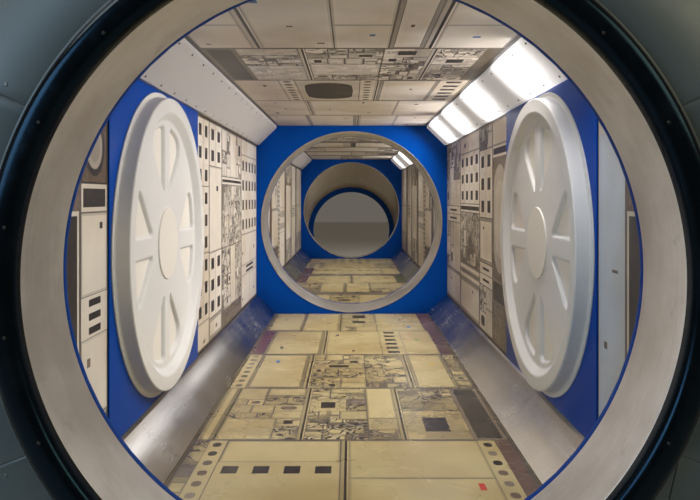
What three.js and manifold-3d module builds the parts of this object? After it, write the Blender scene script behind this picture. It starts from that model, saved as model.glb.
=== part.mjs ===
// A crawl-through mock-up of two space station compartments, for children, standing on five saddles.
// Each compartment is an octagonal drum of flat sheets around a square-sectioned cabin with cut-off corners.
// Round passages lead in at the front, through the neck between the drums, and down the tube at the back.
// Millimetres. X is to the right, Y runs along the passages from the entrance to the exit, and Z is up.
// While the pieces are made, the passages' axis is the Y axis and the entrance face is at Y = 0.
// The last lines move the whole to its own origin, on the ground under the middle of its length.
import * as THREE from "three";
import { ConvexGeometry } from "three/addons/geometries/ConvexGeometry.js";
import { mergeVertices } from "three/addons/utils/BufferGeometryUtils.js";
import Module from "manifold-3d";

const wasm = await Module();
wasm.setup();

// Driving dimensions
const PASSAGE_R = 500; // inner radius of every round passage
const PASSAGE_WALL = 4; // rolled sheet around each passage
const PASSAGE_DROP = 12; // the neck and the upper end of the exit tube lie this much below the entrance's axis
const CABIN_HALF_W = 530; // from the axis to the side walls
const CABIN_HALF_H = 522; // from the axis to the floor and to the ceiling
const BOARD = 18; // thickness of walls, floor, ceiling and bulkheads
const HULL_HALF = 800; // from the axis to the drum's flat sides, top and bottom
const HULL_FLAT = 390; // half the length of those flats in section
const SKIN = 12; // thickness of the drum's sheets with their edge frames
const SADDLE_DROP = 300; // ground to the underside of the drums
const SEAT = 0.3; // gap kept between pieces that rest on each other
const ROUND = 64; // sides of every turned or round shape
const AROUND_HOOP = PASSAGE_R + PASSAGE_WALL + 2 * SEAT; // hole that a hoop passes through

// Stations along Y
const FACE_DEEP = 72; // how deep an end face is, from its round flange to its flat back
const FACE_EDGE = 24; // width of the end face's straight rim
const FACE_SLOPE = 300; // how far in from the rim the sloping sheets of an end face run
const FACE_FLANGE_R = 560; // the flat round flange that the gasket and the collars sit on
const ENTRANCE_DEEP = 159; // entrance face to the first bulkhead
const FORE = { name: "fore", front: ENTRANCE_DEEP, back: 2906, skinFront: FACE_DEEP, skinBack: 2906 };
const AFT = { name: "aft", front: 3179, back: 6448, skinFront: 3179, skinBack: 6448 };
const HOOP_PROUD = 3; // how far a hoop's edge stands out of the bulkhead behind a cabin
const TUBE_BEND_FROM = 6550; // the exit tube leaves the level here
const TUBE_BEND_TO = 7190; // and is level again from here
const EXIT_PLATE_FROM = 7200;
const TUBE_DROP = 257; // the exit end lies this much lower
const EXIT_HOLE_R = 440; // the hole in the exit plate

// Cabin corners: the lamp panels above and the kick plates below
const LAMP_OUT = 515; // lamp panel's face, at its lower outer edge
const LAMP_OUT_Z = 415;
const LAMP_IN = 418; // and at its upper inner edge
const LAMP_IN_Z = 510;
const KICK_OUT_Z = -433; // kick plate's slope, at the wall
const KICK_LIP = 14; // its upright lip on the wall
const KICK_IN = 423; // and its slope at the floor
const KICK_IN_Z = -515;

// Round hatch covers on their blue panels
const HATCH_PANEL = 4;
const HATCH_PANEL_FROM = 469;
const HATCH_PANEL_TO = 1358;
const HATCH_MIDDLE = 885; // where the covers' middles stand along Y
const HATCH_FLANGE_R = 409;
const HATCH_R = 396;
const HATCH_RIM_R = 355; // inner edge of the flat rim
const HATCH_WEB_R = 334; // outer edge of the sunk web
const HATCH_HUB_R = 99;
const HATCH_FLANGE = 4;
const HATCH_PROUD = 38; // wall panel to the flat rim
const HATCH_WEB = 18; // wall panel to the web
const HATCH_POCKET = 5; // wall panel to the pockets' floors
const HATCH_HUB = 22; // wall panel to the hub's face
const POCKET_OUT_R = 325;
const POCKET_IN_R = 146;
const POCKET_SPAN = THREE.MathUtils.degToRad(32); // from the spoke's middle to the pocket's far corner
const SPOKE_HALF = 21; // half the width of a narrow spoke
const POCKET_CORNER = 17; // radius of a pocket's rounded corners
const SPOKES = 4; // narrow spokes, with a pocket on each side of each

// Entrance gasket
const GASKET_R = 551;
const GASKET_PROUD = 28;
const GASKET_INSET = 0.5; // how far its inner edge lies outside the hoop's inner face
// Its rounded section: distance from its inner edge, and the share of its full height there
const GASKET_SECTION = [
  [0, 0.45],
  [6.5, 0.85],
  [18.5, 1],
  [31.5, 1],
  [45.5, 0.72],
  [50.5, 0.3],
];
const COLLAR = 25; // length of the collar around the exit tube's upper end

// Saddles: where the middle of each stands along Y, and how low its drum or plate lies
const SADDLE_LONG = 120; // along Y
const SADDLE_HALF_W = 740;
const SADDLE_TOP = 680; // where the saddle's arm ends on the drum's lower corner
const SADDLE_ARM_Z = -560;
const SADDLE_ARCH_HALF = 300; // half the width of the cut-out between its feet
const SADDLE_ARCH_TOP = 150; // from the drum's underside down to the top of that cut-out
const SADDLE_ARCH_FLARE = 40; // how much wider that cut-out is on the ground, on each side
const SADDLES = [
  { y: 480, drop: 0 },
  { y: 2520, drop: 0 },
  { y: 3560, drop: 0 },
  { y: 6040, drop: 0 },
  { y: EXIT_PLATE_FROM + BOARD - SADDLE_LONG / 2, drop: TUBE_DROP },
];

// Finishes: colour, roughness, metalness
const FINISHES = {
  hull_paint: [0x5d7480, 0.35, 0.4],
  face_paint: [0x64808c, 0.35, 0.4],
  blue_paint: [0x0d3f9a, 0.45, 0.0],
  aluminium: [0xb9b8b4, 0.35, 0.9],
  gasket_rubber: [0x101214, 0.35, 0.0],
  white_cover: [0xe6e4dd, 0.35, 0.0],
  printed_wall: [0xd8d1c0, 0.5, 0.0],
  printed_floor: [0xc9b989, 0.35, 0.0],
  lamp_sheet: [0xf1efec, 0.4, 0.0],
  tube_paint: [0xb9ac90, 0.5, 0.0],
  saddle_paint: [0x3a4046, 0.5, 0.3],
};
const materials = Object.fromEntries(
  Object.entries(FINISHES).map(([name, [color, roughness, metalness]]) => [
    name,
    new THREE.MeshStandardMaterial({ name, color, roughness, metalness }),
  ]),
);

const craft = new THREE.Group();

function piece(name, finish, geometry) {
  const mesh = new THREE.Mesh(geometry, materials[finish]);
  mesh.name = name;
  craft.add(mesh);
  return mesh;
}

// A closed geometry as a solid for joining and cutting, and back again
function solidOf(geometry) {
  const bare = geometry.index ? geometry.toNonIndexed() : geometry.clone();
  for (const attribute of ["normal", "uv"]) bare.deleteAttribute(attribute);
  const merged = mergeVertices(bare, 1e-3);
  return new wasm.Manifold(
    new wasm.Mesh({
      numProp: 3,
      vertProperties: new Float32Array(merged.attributes.position.array),
      triVerts: new Uint32Array(merged.index.array),
    }),
  );
}

function geometryOf(solid) {
  const mesh = solid.getMesh();
  const geometry = new THREE.BufferGeometry();
  geometry.setAttribute("position", new THREE.BufferAttribute(mesh.vertProperties, 3));
  geometry.setIndex(new THREE.BufferAttribute(mesh.triVerts, 1));
  return geometry;
}

// A section in X and Z, drawn through [x, z] points, run along Y
function alongY(section, from, to) {
  const drawn = section instanceof THREE.Shape;
  const shape = drawn ? section : new THREE.Shape(section.map(([x, z]) => new THREE.Vector2(x, z)));
  const geometry = new THREE.ExtrudeGeometry(shape, { depth: to - from, bevelEnabled: false });
  return geometry.rotateX(Math.PI / 2).translate(0, to, 0);
}

// A profile of [radius, y] points turned around the Y axis
function turned(profile) {
  const points = [...profile, profile[0]].map(([r, y]) => new THREE.Vector2(r, y));
  return new THREE.LatheGeometry(points, ROUND);
}

function cylinder(radius, from, to) {
  return new THREE.CylinderGeometry(radius, radius, to - from, ROUND).translate(0, (from + to) / 2, 0);
}

// The same section on the other side of the middle plane, kept facing out
const mirrored = (points) => points.map(([x, z]) => [-x, z]).reverse();

// The drum's octagon, moved in by a given amount, as [x, z] corners from the lower right
function octagon(inset) {
  const half = HULL_HALF - inset;
  const flat = HULL_FLAT - inset * Math.tan(Math.PI / 8);
  return [
    [half, -flat],
    [half, flat],
    [flat, half],
    [-flat, half],
    [-half, flat],
    [-half, -flat],
    [-flat, -half],
    [flat, -half],
  ];
}

// Drum skins: eight flat sheets, each with mitred long edges
const SKIN_NAMES = [
  "right",
  "upper_right",
  "top",
  "upper_left",
  "left",
  "lower_left",
  "bottom",
  "lower_right",
];
const MITRE_GAP = 0.17; // taken off each end of a sheet's section

function drumSkins(module) {
  const outer = octagon(0);
  const inner = octagon(SKIN);
  SKIN_NAMES.forEach((name, i) => {
    const next = (i + 1) % outer.length;
    const along = new THREE.Vector2(...outer[next]).sub(new THREE.Vector2(...outer[i])).setLength(MITRE_GAP);
    const shifted = ([x, z], sign) => [x + sign * along.x, z + sign * along.y];
    const section = [
      shifted(outer[i], 1),
      shifted(outer[next], -1),
      shifted(inner[next], -1),
      shifted(inner[i], 1),
    ];
    const sheet = alongY(section, module.skinFront + SEAT, module.skinBack - SEAT);
    piece(`${module.name}_hull_${name}`, "hull_paint", sheet);
  });
}

// End faces: eight sheets that slope up to a flat round flange around the passage's hole
function endFace(name, flatBack, outward, passageZ) {
  const ringOf = (inset, depth) =>
    octagon(inset).map(([x, z]) => new THREE.Vector3(x, flatBack + outward * depth, z));
  const sheets = new ConvexGeometry([
    ...ringOf(0, 0),
    ...ringOf(0, FACE_EDGE),
    ...ringOf(FACE_SLOPE, FACE_DEEP),
  ]);
  const front = flatBack + outward * FACE_DEEP;
  const flange = cylinder(FACE_FLANGE_R, Math.min(flatBack, front), Math.max(flatBack, front));
  const hole = cylinder(AROUND_HOOP, flatBack - 2 * FACE_DEEP, flatBack + 2 * FACE_DEEP);
  for (const round of [flange, hole]) round.translate(0, 0, passageZ);
  piece(name, "face_paint", geometryOf(solidOf(sheets).add(solidOf(flange)).subtract(solidOf(hole))));
}

// Bulkheads: painted octagonal boards with a round hole, smaller than the drum by an inset
const INSIDE_SKIN = SKIN + SEAT;

function bulkhead(name, from, holeR, holeZ, inset = INSIDE_SKIN) {
  const shape = new THREE.Shape(octagon(inset).map(([x, z]) => new THREE.Vector2(x, z)));
  const hole = new THREE.Path();
  hole.setFromPoints(
    Array.from({ length: ROUND }, (_, i) => {
      const turn = (-2 * Math.PI * i) / ROUND;
      return new THREE.Vector2(holeR * Math.sin(turn), holeZ + holeR * Math.cos(turn));
    }),
  );
  shape.holes.push(hole);
  return piece(name, "blue_paint", alongY(shape, from, from + BOARD));
}

// Cabin linings: floor, ceiling and walls, with the lamp panels and kick plates in the corners
const LAMP_SECTION = [
  [LAMP_OUT, LAMP_OUT_Z],
  [CABIN_HALF_W - SEAT, LAMP_OUT_Z],
  [CABIN_HALF_W - SEAT, CABIN_HALF_H - SEAT],
  [LAMP_IN, CABIN_HALF_H - SEAT],
  [LAMP_IN, LAMP_IN_Z],
];
const KICK_SECTION = [
  [KICK_IN, -CABIN_HALF_H + SEAT],
  [CABIN_HALF_W - SEAT, -CABIN_HALF_H + SEAT],
  [CABIN_HALF_W - SEAT, KICK_OUT_Z + KICK_LIP],
  [CABIN_HALF_W - HATCH_PANEL, KICK_OUT_Z + KICK_LIP],
  [CABIN_HALF_W - HATCH_PANEL, KICK_OUT_Z],
  [KICK_IN, KICK_IN_Z],
];

function cabin(module) {
  const from = module.front + BOARD + SEAT;
  const to = module.back - BOARD - SEAT;
  const outerW = CABIN_HALF_W + BOARD;
  const outerH = CABIN_HALF_H + BOARD;
  const halfW = CABIN_HALF_W - SEAT;
  const board = [
    [-halfW, CABIN_HALF_H],
    [halfW, CABIN_HALF_H],
    [halfW, outerH],
    [-halfW, outerH],
  ];
  const floorBoard = board.map(([x, z]) => [x, -z]).reverse();
  const wallBoard = [
    [CABIN_HALF_W, -outerH],
    [outerW, -outerH],
    [outerW, outerH],
    [CABIN_HALF_W, outerH],
  ];
  piece(`${module.name}_ceiling`, "printed_wall", alongY(board, from, to));
  piece(`${module.name}_floor`, "printed_floor", alongY(floorBoard, from, to));
  const sides = [
    ["right", (section) => section],
    ["left", mirrored],
  ];
  for (const [side, placed] of sides) {
    piece(`${module.name}_wall_${side}`, "printed_wall", alongY(placed(wallBoard), from, to));
    piece(`${module.name}_lamp_panel_${side}`, "lamp_sheet", alongY(placed(LAMP_SECTION), from, to));
    piece(`${module.name}_kick_plate_${side}`, "aluminium", alongY(placed(KICK_SECTION), from, to));
  }
}

// Hatch covers: a turned disc with a flange, a raised rim, a sunk web with eight pockets, and a hub.
// It is made lying on the wall panel at Y = 0, facing +Y, and then turned to face across the cabin.
function pocketShape(spokeAngle, side) {
  const polar = (r, angle) =>
    new THREE.Vector2(r * Math.cos(spokeAngle + side * angle), r * Math.sin(spokeAngle + side * angle));
  const nearRim = polar(POCKET_OUT_R, Math.asin(SPOKE_HALF / POCKET_OUT_R));
  const farRim = polar(POCKET_OUT_R, POCKET_SPAN);
  const tip = polar(POCKET_IN_R, Math.asin(SPOKE_HALF / POCKET_IN_R));
  const corners = [nearRim, farRim, tip];
  const shape = new THREE.Shape();
  corners.forEach((corner, i) => {
    const before = corners[(i + corners.length - 1) % corners.length];
    const after = corners[(i + 1) % corners.length];
    const arrive = before.clone().sub(corner).setLength(corner === tip ? 2 * POCKET_CORNER : POCKET_CORNER);
    const leave = after.clone().sub(corner).setLength(arrive.length());
    const start = corner.clone().add(arrive);
    const end = corner.clone().add(leave);
    if (i === 0) shape.moveTo(start.x, start.y);
    else shape.lineTo(start.x, start.y);
    shape.quadraticCurveTo(corner.x, corner.y, end.x, end.y);
  });
  return shape;
}

function hatchCover() {
  const disc = turned([
    [0, SEAT],
    [HATCH_FLANGE_R, SEAT],
    [HATCH_FLANGE_R, HATCH_FLANGE],
    [HATCH_R, HATCH_FLANGE],
    [HATCH_R - 2, HATCH_PROUD - 5],
    [HATCH_R - 7, HATCH_PROUD],
    [HATCH_RIM_R, HATCH_PROUD],
    [HATCH_WEB_R, HATCH_WEB],
    [HATCH_HUB_R + 4, HATCH_WEB],
    [HATCH_HUB_R, HATCH_HUB],
    [0, HATCH_HUB],
  ]);
  let cover = solidOf(disc);
  for (let spoke = 0; spoke < SPOKES; spoke++) {
    for (const side of [-1, 1]) {
      const shape = pocketShape((2 * Math.PI * spoke) / SPOKES, side);
      const depth = HATCH_PROUD;
      const pocket = new THREE.ExtrudeGeometry(shape, { depth, bevelEnabled: false, curveSegments: 4 });
      pocket.rotateX(Math.PI / 2).translate(0, HATCH_POCKET + depth, 0);
      cover = cover.subtract(solidOf(pocket));
    }
  }
  return geometryOf(cover);
}

function hatches() {
  const panelFace = CABIN_HALF_W - SEAT - HATCH_PANEL;
  const panelSection = [
    [panelFace, KICK_OUT_Z + KICK_LIP + SEAT],
    [CABIN_HALF_W - SEAT, KICK_OUT_Z + KICK_LIP + SEAT],
    [CABIN_HALF_W - SEAT, LAMP_OUT_Z - SEAT],
    [panelFace, LAMP_OUT_Z - SEAT],
  ];
  const panel = (section) => alongY(section, HATCH_PANEL_FROM, HATCH_PANEL_TO);
  piece("hatch_panel_right", "blue_paint", panel(panelSection));
  piece("hatch_panel_left", "blue_paint", panel(mirrored(panelSection)));
  const cover = hatchCover();
  const right = piece("hatch_cover_right", "white_cover", cover);
  right.rotation.z = Math.PI / 2;
  right.position.set(panelFace, HATCH_MIDDLE, 0);
  const left = piece("hatch_cover_left", "white_cover", cover);
  left.rotation.z = -Math.PI / 2;
  left.position.set(-panelFace, HATCH_MIDDLE, 0);
}

// Passages: rolled hoops at the entrance, in the neck and at the exit, their rubber, and the exit tube
function ring(name, finish, innerR, outerR, from, to, middleZ) {
  const section = [
    [innerR, from],
    [outerR, from],
    [outerR, to],
    [innerR, to],
  ];
  piece(name, finish, turned(section).translate(0, 0, middleZ));
}

function hoop(name, from, to, middleZ) {
  ring(name, "aluminium", PASSAGE_R, PASSAGE_R + PASSAGE_WALL, from, to, middleZ);
}

function entranceGasket() {
  const innerR = PASSAGE_R + GASKET_INSET;
  const crown = GASKET_SECTION.map(([out, share]) => [innerR + out, -GASKET_PROUD * share]);
  piece("entrance_gasket", "gasket_rubber", turned([[innerR, -SEAT], ...crown, [GASKET_R, -SEAT]]));
}

// A tube whose round sections stay upright while its middle steps down, from [y, z] stations
function steppedTube(stations, innerR, outerR) {
  const positions = [];
  const faces = [];
  for (const [y, z] of stations) {
    for (const radius of [innerR, outerR]) {
      for (let i = 0; i < ROUND; i++) {
        const turn = (2 * Math.PI * i) / ROUND;
        positions.push(radius * Math.sin(turn), y, z + radius * Math.cos(turn));
      }
    }
  }
  const at = (station, wall, i) => (station * 2 + wall) * ROUND + (i % ROUND);
  const quad = (a, b, c, d) => faces.push(a, b, c, a, c, d);
  const last = stations.length - 1;
  for (let i = 0; i < ROUND; i++) {
    for (let s = 0; s < last; s++) {
      quad(at(s, 1, i), at(s, 1, i + 1), at(s + 1, 1, i + 1), at(s + 1, 1, i));
      quad(at(s, 0, i), at(s + 1, 0, i), at(s + 1, 0, i + 1), at(s, 0, i + 1));
    }
    quad(at(0, 0, i), at(0, 0, i + 1), at(0, 1, i + 1), at(0, 1, i));
    quad(at(last, 0, i), at(last, 1, i), at(last, 1, i + 1), at(last, 0, i + 1));
  }
  const geometry = new THREE.BufferGeometry();
  geometry.setAttribute("position", new THREE.Float32BufferAttribute(positions, 3));
  geometry.setIndex(faces);
  return geometry;
}

function exitTube() {
  const stations = [
    [AFT.back + FACE_DEEP + 2 * SEAT, -PASSAGE_DROP],
    [TUBE_BEND_FROM, -PASSAGE_DROP],
    [TUBE_BEND_TO, -TUBE_DROP],
    [EXIT_PLATE_FROM - SEAT, -TUBE_DROP],
  ];
  piece("exit_tube", "tube_paint", steppedTube(stations, PASSAGE_R, PASSAGE_R + PASSAGE_WALL));
}

// Saddles: cross-boards cut to the drum's underside, with an arch between their feet
const GROUND = -(HULL_HALF + SADDLE_DROP);

function saddles() {
  const gap = SEAT * Math.SQRT2;
  SADDLES.forEach(({ y, drop }, i) => {
    const archZ = -HULL_HALF - SADDLE_ARCH_TOP - drop;
    const right = [
      [SADDLE_ARCH_HALF + SADDLE_ARCH_FLARE, GROUND],
      [SADDLE_HALF_W, GROUND],
      [SADDLE_HALF_W, SADDLE_ARM_Z - drop],
      [SADDLE_TOP, -(HULL_HALF + HULL_FLAT - SADDLE_TOP) - gap - drop],
      [HULL_FLAT - gap * Math.tan(Math.PI / 8), -HULL_HALF - SEAT - drop],
    ];
    const arched = archZ > GROUND;
    const arch = [
      [-SADDLE_ARCH_HALF, archZ],
      [SADDLE_ARCH_HALF, archZ],
    ];
    const section = [...right, ...mirrored(right), ...(arched ? arch : [])];
    piece(`saddle_${i + 1}`, "saddle_paint", alongY(section, y - SADDLE_LONG / 2, y + SADDLE_LONG / 2));
  });
}

// The whole craft
endFace("entrance_face", FACE_DEEP, -1, 0);
endFace("fore_back_face", FORE.back + SEAT, 1, -PASSAGE_DROP);
endFace("aft_front_face", AFT.front - SEAT, -1, -PASSAGE_DROP);
endFace("aft_back_face", AFT.back + SEAT, 1, -PASSAGE_DROP);
for (const module of [FORE, AFT]) {
  drumSkins(module);
  cabin(module);
}
bulkhead("fore_bulkhead_front", FORE.front, PASSAGE_R + SEAT, 0);
bulkhead("fore_bulkhead_back", FORE.back - BOARD, AROUND_HOOP, -PASSAGE_DROP);
bulkhead("aft_bulkhead_front", AFT.front, PASSAGE_R + SEAT, -PASSAGE_DROP);
bulkhead("aft_bulkhead_back", AFT.back - BOARD, AROUND_HOOP, -PASSAGE_DROP);
const exitPlate = bulkhead("exit_plate", EXIT_PLATE_FROM, EXIT_HOLE_R, 0, 0);
exitPlate.position.z = -TUBE_DROP;
hatches();
entranceGasket();
hoop("entrance_hoop", 0, FORE.front - SEAT, 0);
hoop("neck_hoop", FORE.back - BOARD - HOOP_PROUD, AFT.front - SEAT, -PASSAGE_DROP);
hoop("exit_hoop", AFT.back - BOARD - HOOP_PROUD, AFT.back + FACE_DEEP + SEAT, -PASSAGE_DROP);
const neckFrom = FORE.back + FACE_DEEP + 2 * SEAT;
const neckTo = AFT.front - FACE_DEEP - 2 * SEAT;
ring("neck_sleeve", "gasket_rubber", AROUND_HOOP, GASKET_R, neckFrom, neckTo, -PASSAGE_DROP);
const collarFrom = AFT.back + FACE_DEEP + 2 * SEAT;
ring("exit_collar", "gasket_rubber", AROUND_HOOP, GASKET_R, collarFrom, collarFrom + COLLAR, -PASSAGE_DROP);
exitTube();
saddles();

const middleY = (EXIT_PLATE_FROM + BOARD - GASKET_PROUD) / 2;
craft.children.forEach((mesh) => {
  mesh.position.y -= middleY;
  mesh.position.z -= GROUND;
});

export default craft;
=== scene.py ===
import math
import random

import bmesh
import bpy
from mathutils import Matrix, Vector


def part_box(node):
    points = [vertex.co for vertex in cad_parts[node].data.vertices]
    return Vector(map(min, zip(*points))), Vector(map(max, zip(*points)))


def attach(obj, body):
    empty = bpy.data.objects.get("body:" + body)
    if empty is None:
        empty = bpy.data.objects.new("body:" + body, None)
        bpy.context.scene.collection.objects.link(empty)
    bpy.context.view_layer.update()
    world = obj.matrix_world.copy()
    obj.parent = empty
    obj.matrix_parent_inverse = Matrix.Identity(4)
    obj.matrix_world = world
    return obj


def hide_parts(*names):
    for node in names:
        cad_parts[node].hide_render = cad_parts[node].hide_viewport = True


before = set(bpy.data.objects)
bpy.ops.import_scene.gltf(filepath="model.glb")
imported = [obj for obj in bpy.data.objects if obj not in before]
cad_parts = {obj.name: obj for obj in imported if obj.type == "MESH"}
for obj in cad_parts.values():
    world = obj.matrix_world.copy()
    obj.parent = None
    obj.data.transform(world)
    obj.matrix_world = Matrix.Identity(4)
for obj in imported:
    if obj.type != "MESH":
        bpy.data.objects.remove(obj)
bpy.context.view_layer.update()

# The camera looks straight in through the round entrance, a little above the passages' axis and just over
# a metre in front of the hoop. The photograph is the lower part of a wider level view, hence the shift.
CAMERA_BACK = 1.069
CAMERA_UP = 0.126
CAMERA_ASIDE = -0.004
hoop_low, hoop_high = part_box("entrance_hoop")
axis_z = (hoop_low.z + hoop_high.z) / 2
entrance_y = hoop_low.y

camera = bpy.data.objects.new("camera", bpy.data.cameras.new("camera"))
camera.data.lens = 36.6
camera.data.sensor_width = 36.0
camera.data.shift_x = -0.0014
camera.data.shift_y = -0.0757
camera.location = (CAMERA_ASIDE, entrance_y - CAMERA_BACK, axis_z + CAMERA_UP)
camera.rotation_euler = (math.pi / 2, 0, 0)
bpy.context.scene.collection.objects.link(camera)
bpy.context.scene.camera = camera


# Saddles: thick cross-boards, cut to the drum's underside, that carry the drums and the exit plate. Their
# edges are rounded, and they are painted dark grey.
SADDLE_COUNT = 5
SADDLE_EDGE = 0.004
SMOOTH_UNDER = 0.002
FLAT_WITHIN = math.radians(0.5)
WELD = 0.00001
STUD_TOP = 0.62


def finish_piece(name, bm, material, slot, *nodes, smooth_angle=35.0):
    """Turns a bmesh into a piece of the object that stands for some CAD nodes. Its small faces are smooth."""
    mesh = bpy.data.meshes.new(name)
    bm.to_mesh(mesh)
    bm.free()
    mesh.materials.append(material)
    mesh.polygons.foreach_set("use_smooth", [polygon.area < SMOOTH_UNDER for polygon in mesh.polygons])
    mesh.set_sharp_from_angle(angle=math.radians(smooth_angle))
    piece = bpy.data.objects.new(name, mesh)
    bpy.context.scene.collection.objects.link(piece)
    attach(piece, "root")
    if nodes:
        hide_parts(*nodes)
    return piece


def solid_copy(node):
    """A CAD node's solid with its loose triangles joined and its flat faces whole."""
    bm = bmesh.new()
    bm.from_mesh(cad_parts[node].data)
    bmesh.ops.remove_doubles(bm, verts=bm.verts, dist=WELD)
    bmesh.ops.dissolve_limit(bm, angle_limit=FLAT_WITHIN, verts=bm.verts, edges=bm.edges)
    return bm


def round_edges(bm, width, segments=2, sharper_than=25.0, edges=None, clamp=True):
    """Rounds some edges of a solid, or else every edge that is sharper than an angle."""
    if edges is None:
        limit = math.radians(sharper_than)
        edges = [edge for edge in bm.edges if edge.is_manifold and edge.calc_face_angle() > limit]
    bmesh.ops.bevel(
        bm,
        geom=edges,
        offset=width,
        offset_type="OFFSET",
        affect="EDGES",
        segments=segments,
        profile=0.5,
        material=-1,
        clamp_overlap=clamp,
    )


def add_stud(bm, place, outward, radius, height, segments=10):
    """A low button head, of a rivet or a screw, that stands out of a surface."""
    turn = Vector((0, 0, 1)).rotation_difference(Vector(outward)).to_matrix().to_4x4()
    middle = Vector(place) + Vector(outward).normalized() * height / 2
    bmesh.ops.create_cone(
        bm,
        cap_ends=True,
        segments=segments,
        radius1=radius,
        radius2=radius * STUD_TOP,
        depth=height,
        matrix=Matrix.Translation(middle) @ turn,
    )


class Net:
    """Adds nodes to a tree. An input is given a socket to link, or else a number, a colour or a vector."""

    def __init__(self, tree):
        self.tree = tree

    def feed(self, node, inputs):
        """Links or sets some inputs of a node."""
        for key, value in inputs.items():
            socket = node.inputs[key]
            if isinstance(value, bpy.types.NodeSocket):
                self.tree.links.new(value, socket)
            else:
                socket.default_value = (*value, 1.0) if socket.type == "RGBA" else value

    def add(self, kind, inputs, **settings):
        """Adds a node; gives the node. The functions below give its output socket."""
        node = self.tree.nodes.new(f"ShaderNode{kind}")
        for setting, value in settings.items():
            setattr(node, setting, value)
        self.feed(node, inputs)
        return node

    def calc(self, operation, *values, clamp=False):
        """A maths operation on sockets or numbers."""
        return self.add("Math", dict(enumerate(values)), operation=operation, use_clamp=clamp).outputs[0]

    def mix(self, share, first, second):
        """A mix of two colours by a share."""
        return self.add("Mix", {0: share, 6: first, 7: second}, data_type="RGBA").outputs[2]

    def scaled(self, color, scale):
        """A colour made lighter or darker."""
        return self.add("VectorMath", {"Vector": color, "Scale": scale}, operation="SCALE").outputs[0]

    def noise(self, vector, scale, detail=2.0, roughness=0.5):
        """A noise over a vector."""
        inputs = {"Vector": vector, "Scale": scale, "Detail": detail, "Roughness": roughness}
        return self.add("TexNoise", inputs).outputs[0]

    def remap(self, value, low, high, to_low=0.0, to_high=1.0):
        """A clamped, smooth change of a value's range."""
        inputs = dict(enumerate((value, low, high, to_low, to_high)))
        return self.add("MapRange", inputs, interpolation_type="SMOOTHSTEP").outputs[0]

    def bump(self, shader, height, distance, strength=1.0):
        """Feeds a height through a bump node to a shader's normal."""
        bump = self.add("Bump", {"Strength": strength, "Distance": distance, "Height": height})
        self.feed(shader, {"Normal": bump.outputs["Normal"]})


def new_material(name):
    """A node material; gives it with its net, its shader and its Object coordinates."""
    material = bpy.data.materials.new(name)
    material.use_nodes = True
    net = Net(material.node_tree)
    return material, net, net.tree.nodes["Principled BSDF"], net.add("TexCoord", {}).outputs["Object"]


def film_group(name, **more):
    """A node group for a film on a surface; gives it with its net, its input sockets and its output node."""
    group = bpy.data.node_groups.new(name, "ShaderNodeTree")
    given = {"Vector": "Vector", "Color": "Color", "Gloss": "Float", **more}
    result = {"Color": "Color", "Roughness": "Float", "Height": "Float"}
    for in_out, sockets in (("INPUT", given), ("OUTPUT", result)):
        for socket, kind in sockets.items():
            group.interface.new_socket(socket, in_out=in_out, socket_type=f"NodeSocket{kind}")
    return group, Net(group), group.nodes.new("NodeGroupInput").outputs, group.nodes.new("NodeGroupOutput")


def lay_film(net, shader, group, given, bump):
    """Gives a shader its colour, its roughness and its height by a film."""
    film = net.add("Group", given, node_tree=group)
    net.feed(shader, {"Base Color": film.outputs["Color"], "Roughness": film.outputs["Roughness"]})
    net.bump(shader, film.outputs["Height"], bump)


# Coloured paint: a slow change of shade, fine orange peel, and scuffs.
paint_film, net, given, film = film_group("paint film", Scuffed="Color", Scuffs="Float")
place = given["Vector"]
slow = net.noise(place, 1.7, 3.0)
blotch = net.noise(place, 9.0, 4.0, 0.6)
grain = net.noise(place, 420.0, 1.0)
stretched = net.add("Mapping", {"Vector": place, "Scale": (14.0, 60.0, 14.0), "Rotation": (0.3, 0.5, 0.2)})
streak = net.noise(stretched.outputs["Vector"], 1.0, 6.0, 0.75)
shade = net.calc("MULTIPLY_ADD", slow, 0.30, 0.85)
shade = net.calc("MULTIPLY", shade, net.calc("MULTIPLY_ADD", blotch, 0.12, 0.94))
scuff = net.calc("MULTIPLY", net.remap(streak, 0.68, 0.80), given["Scuffs"], clamp=True)
rough = net.calc("MULTIPLY_ADD", blotch, 0.16, -0.08)
rough = net.calc("ADD", rough, net.calc("MULTIPLY", scuff, 0.25))
height = net.calc("MULTIPLY_ADD", grain, 0.5, net.calc("MULTIPLY", slow, 1.5))
net.feed(film, {
    "Color": net.mix(scuff, net.scaled(given["Color"], shade), given["Scuffed"]),
    "Roughness": net.calc("ADD", rough, given["Gloss"], clamp=True),
    "Height": net.calc("SUBTRACT", height, scuff),
})


def painted(name, color, scuffed, gloss, scuffs=0.5, metallic=0.0, bump=0.00015, level=0.5):
    """A paint in one colour on sheet or board."""
    material, net, shader, place = new_material(name)
    given = {"Vector": place, "Color": color, "Scuffed": scuffed, "Scuffs": scuffs, "Gloss": gloss}
    lay_film(net, shader, paint_film, given, bump)
    net.feed(shader, {"Metallic": metallic, "Specular IOR Level": level})
    return material


saddle_paint = painted("saddle_paint", (0.055, 0.062, 0.070), (0.16, 0.16, 0.16), 0.42, scuffs=0.8)

for number in range(1, SADDLE_COUNT + 1):
    board = solid_copy(f"saddle_{number}")
    round_edges(board, SADDLE_EDGE, segments=3)
    finish_piece(f"saddle_board_{number}", board, saddle_paint, "saddle_paint", f"saddle_{number}")


# Hull sheets: eight flat sheets around each drum, screwed together from shorter bays that are held by
# rows of rivets along every edge. Each drum's sheets are rolled with a fine groove between the bays.
BAYS = {"fore": 3, "aft": 4}
SHEET_SIDES = ["right", "upper_right", "top", "upper_left", "left", "lower_left", "bottom", "lower_right"]
RIVET_HEIGHT = 0.0012
RIVET_RADIUS = 0.0042
RIVET_PITCH = 0.072
RIVET_EDGE = 0.020
GROOVE_WIDTH = 0.0030
GROOVE_DEEP = 0.0014

hull_paint = painted("hull_paint", (0.060, 0.086, 0.100), (0.14, 0.16, 0.17), 0.38)


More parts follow.
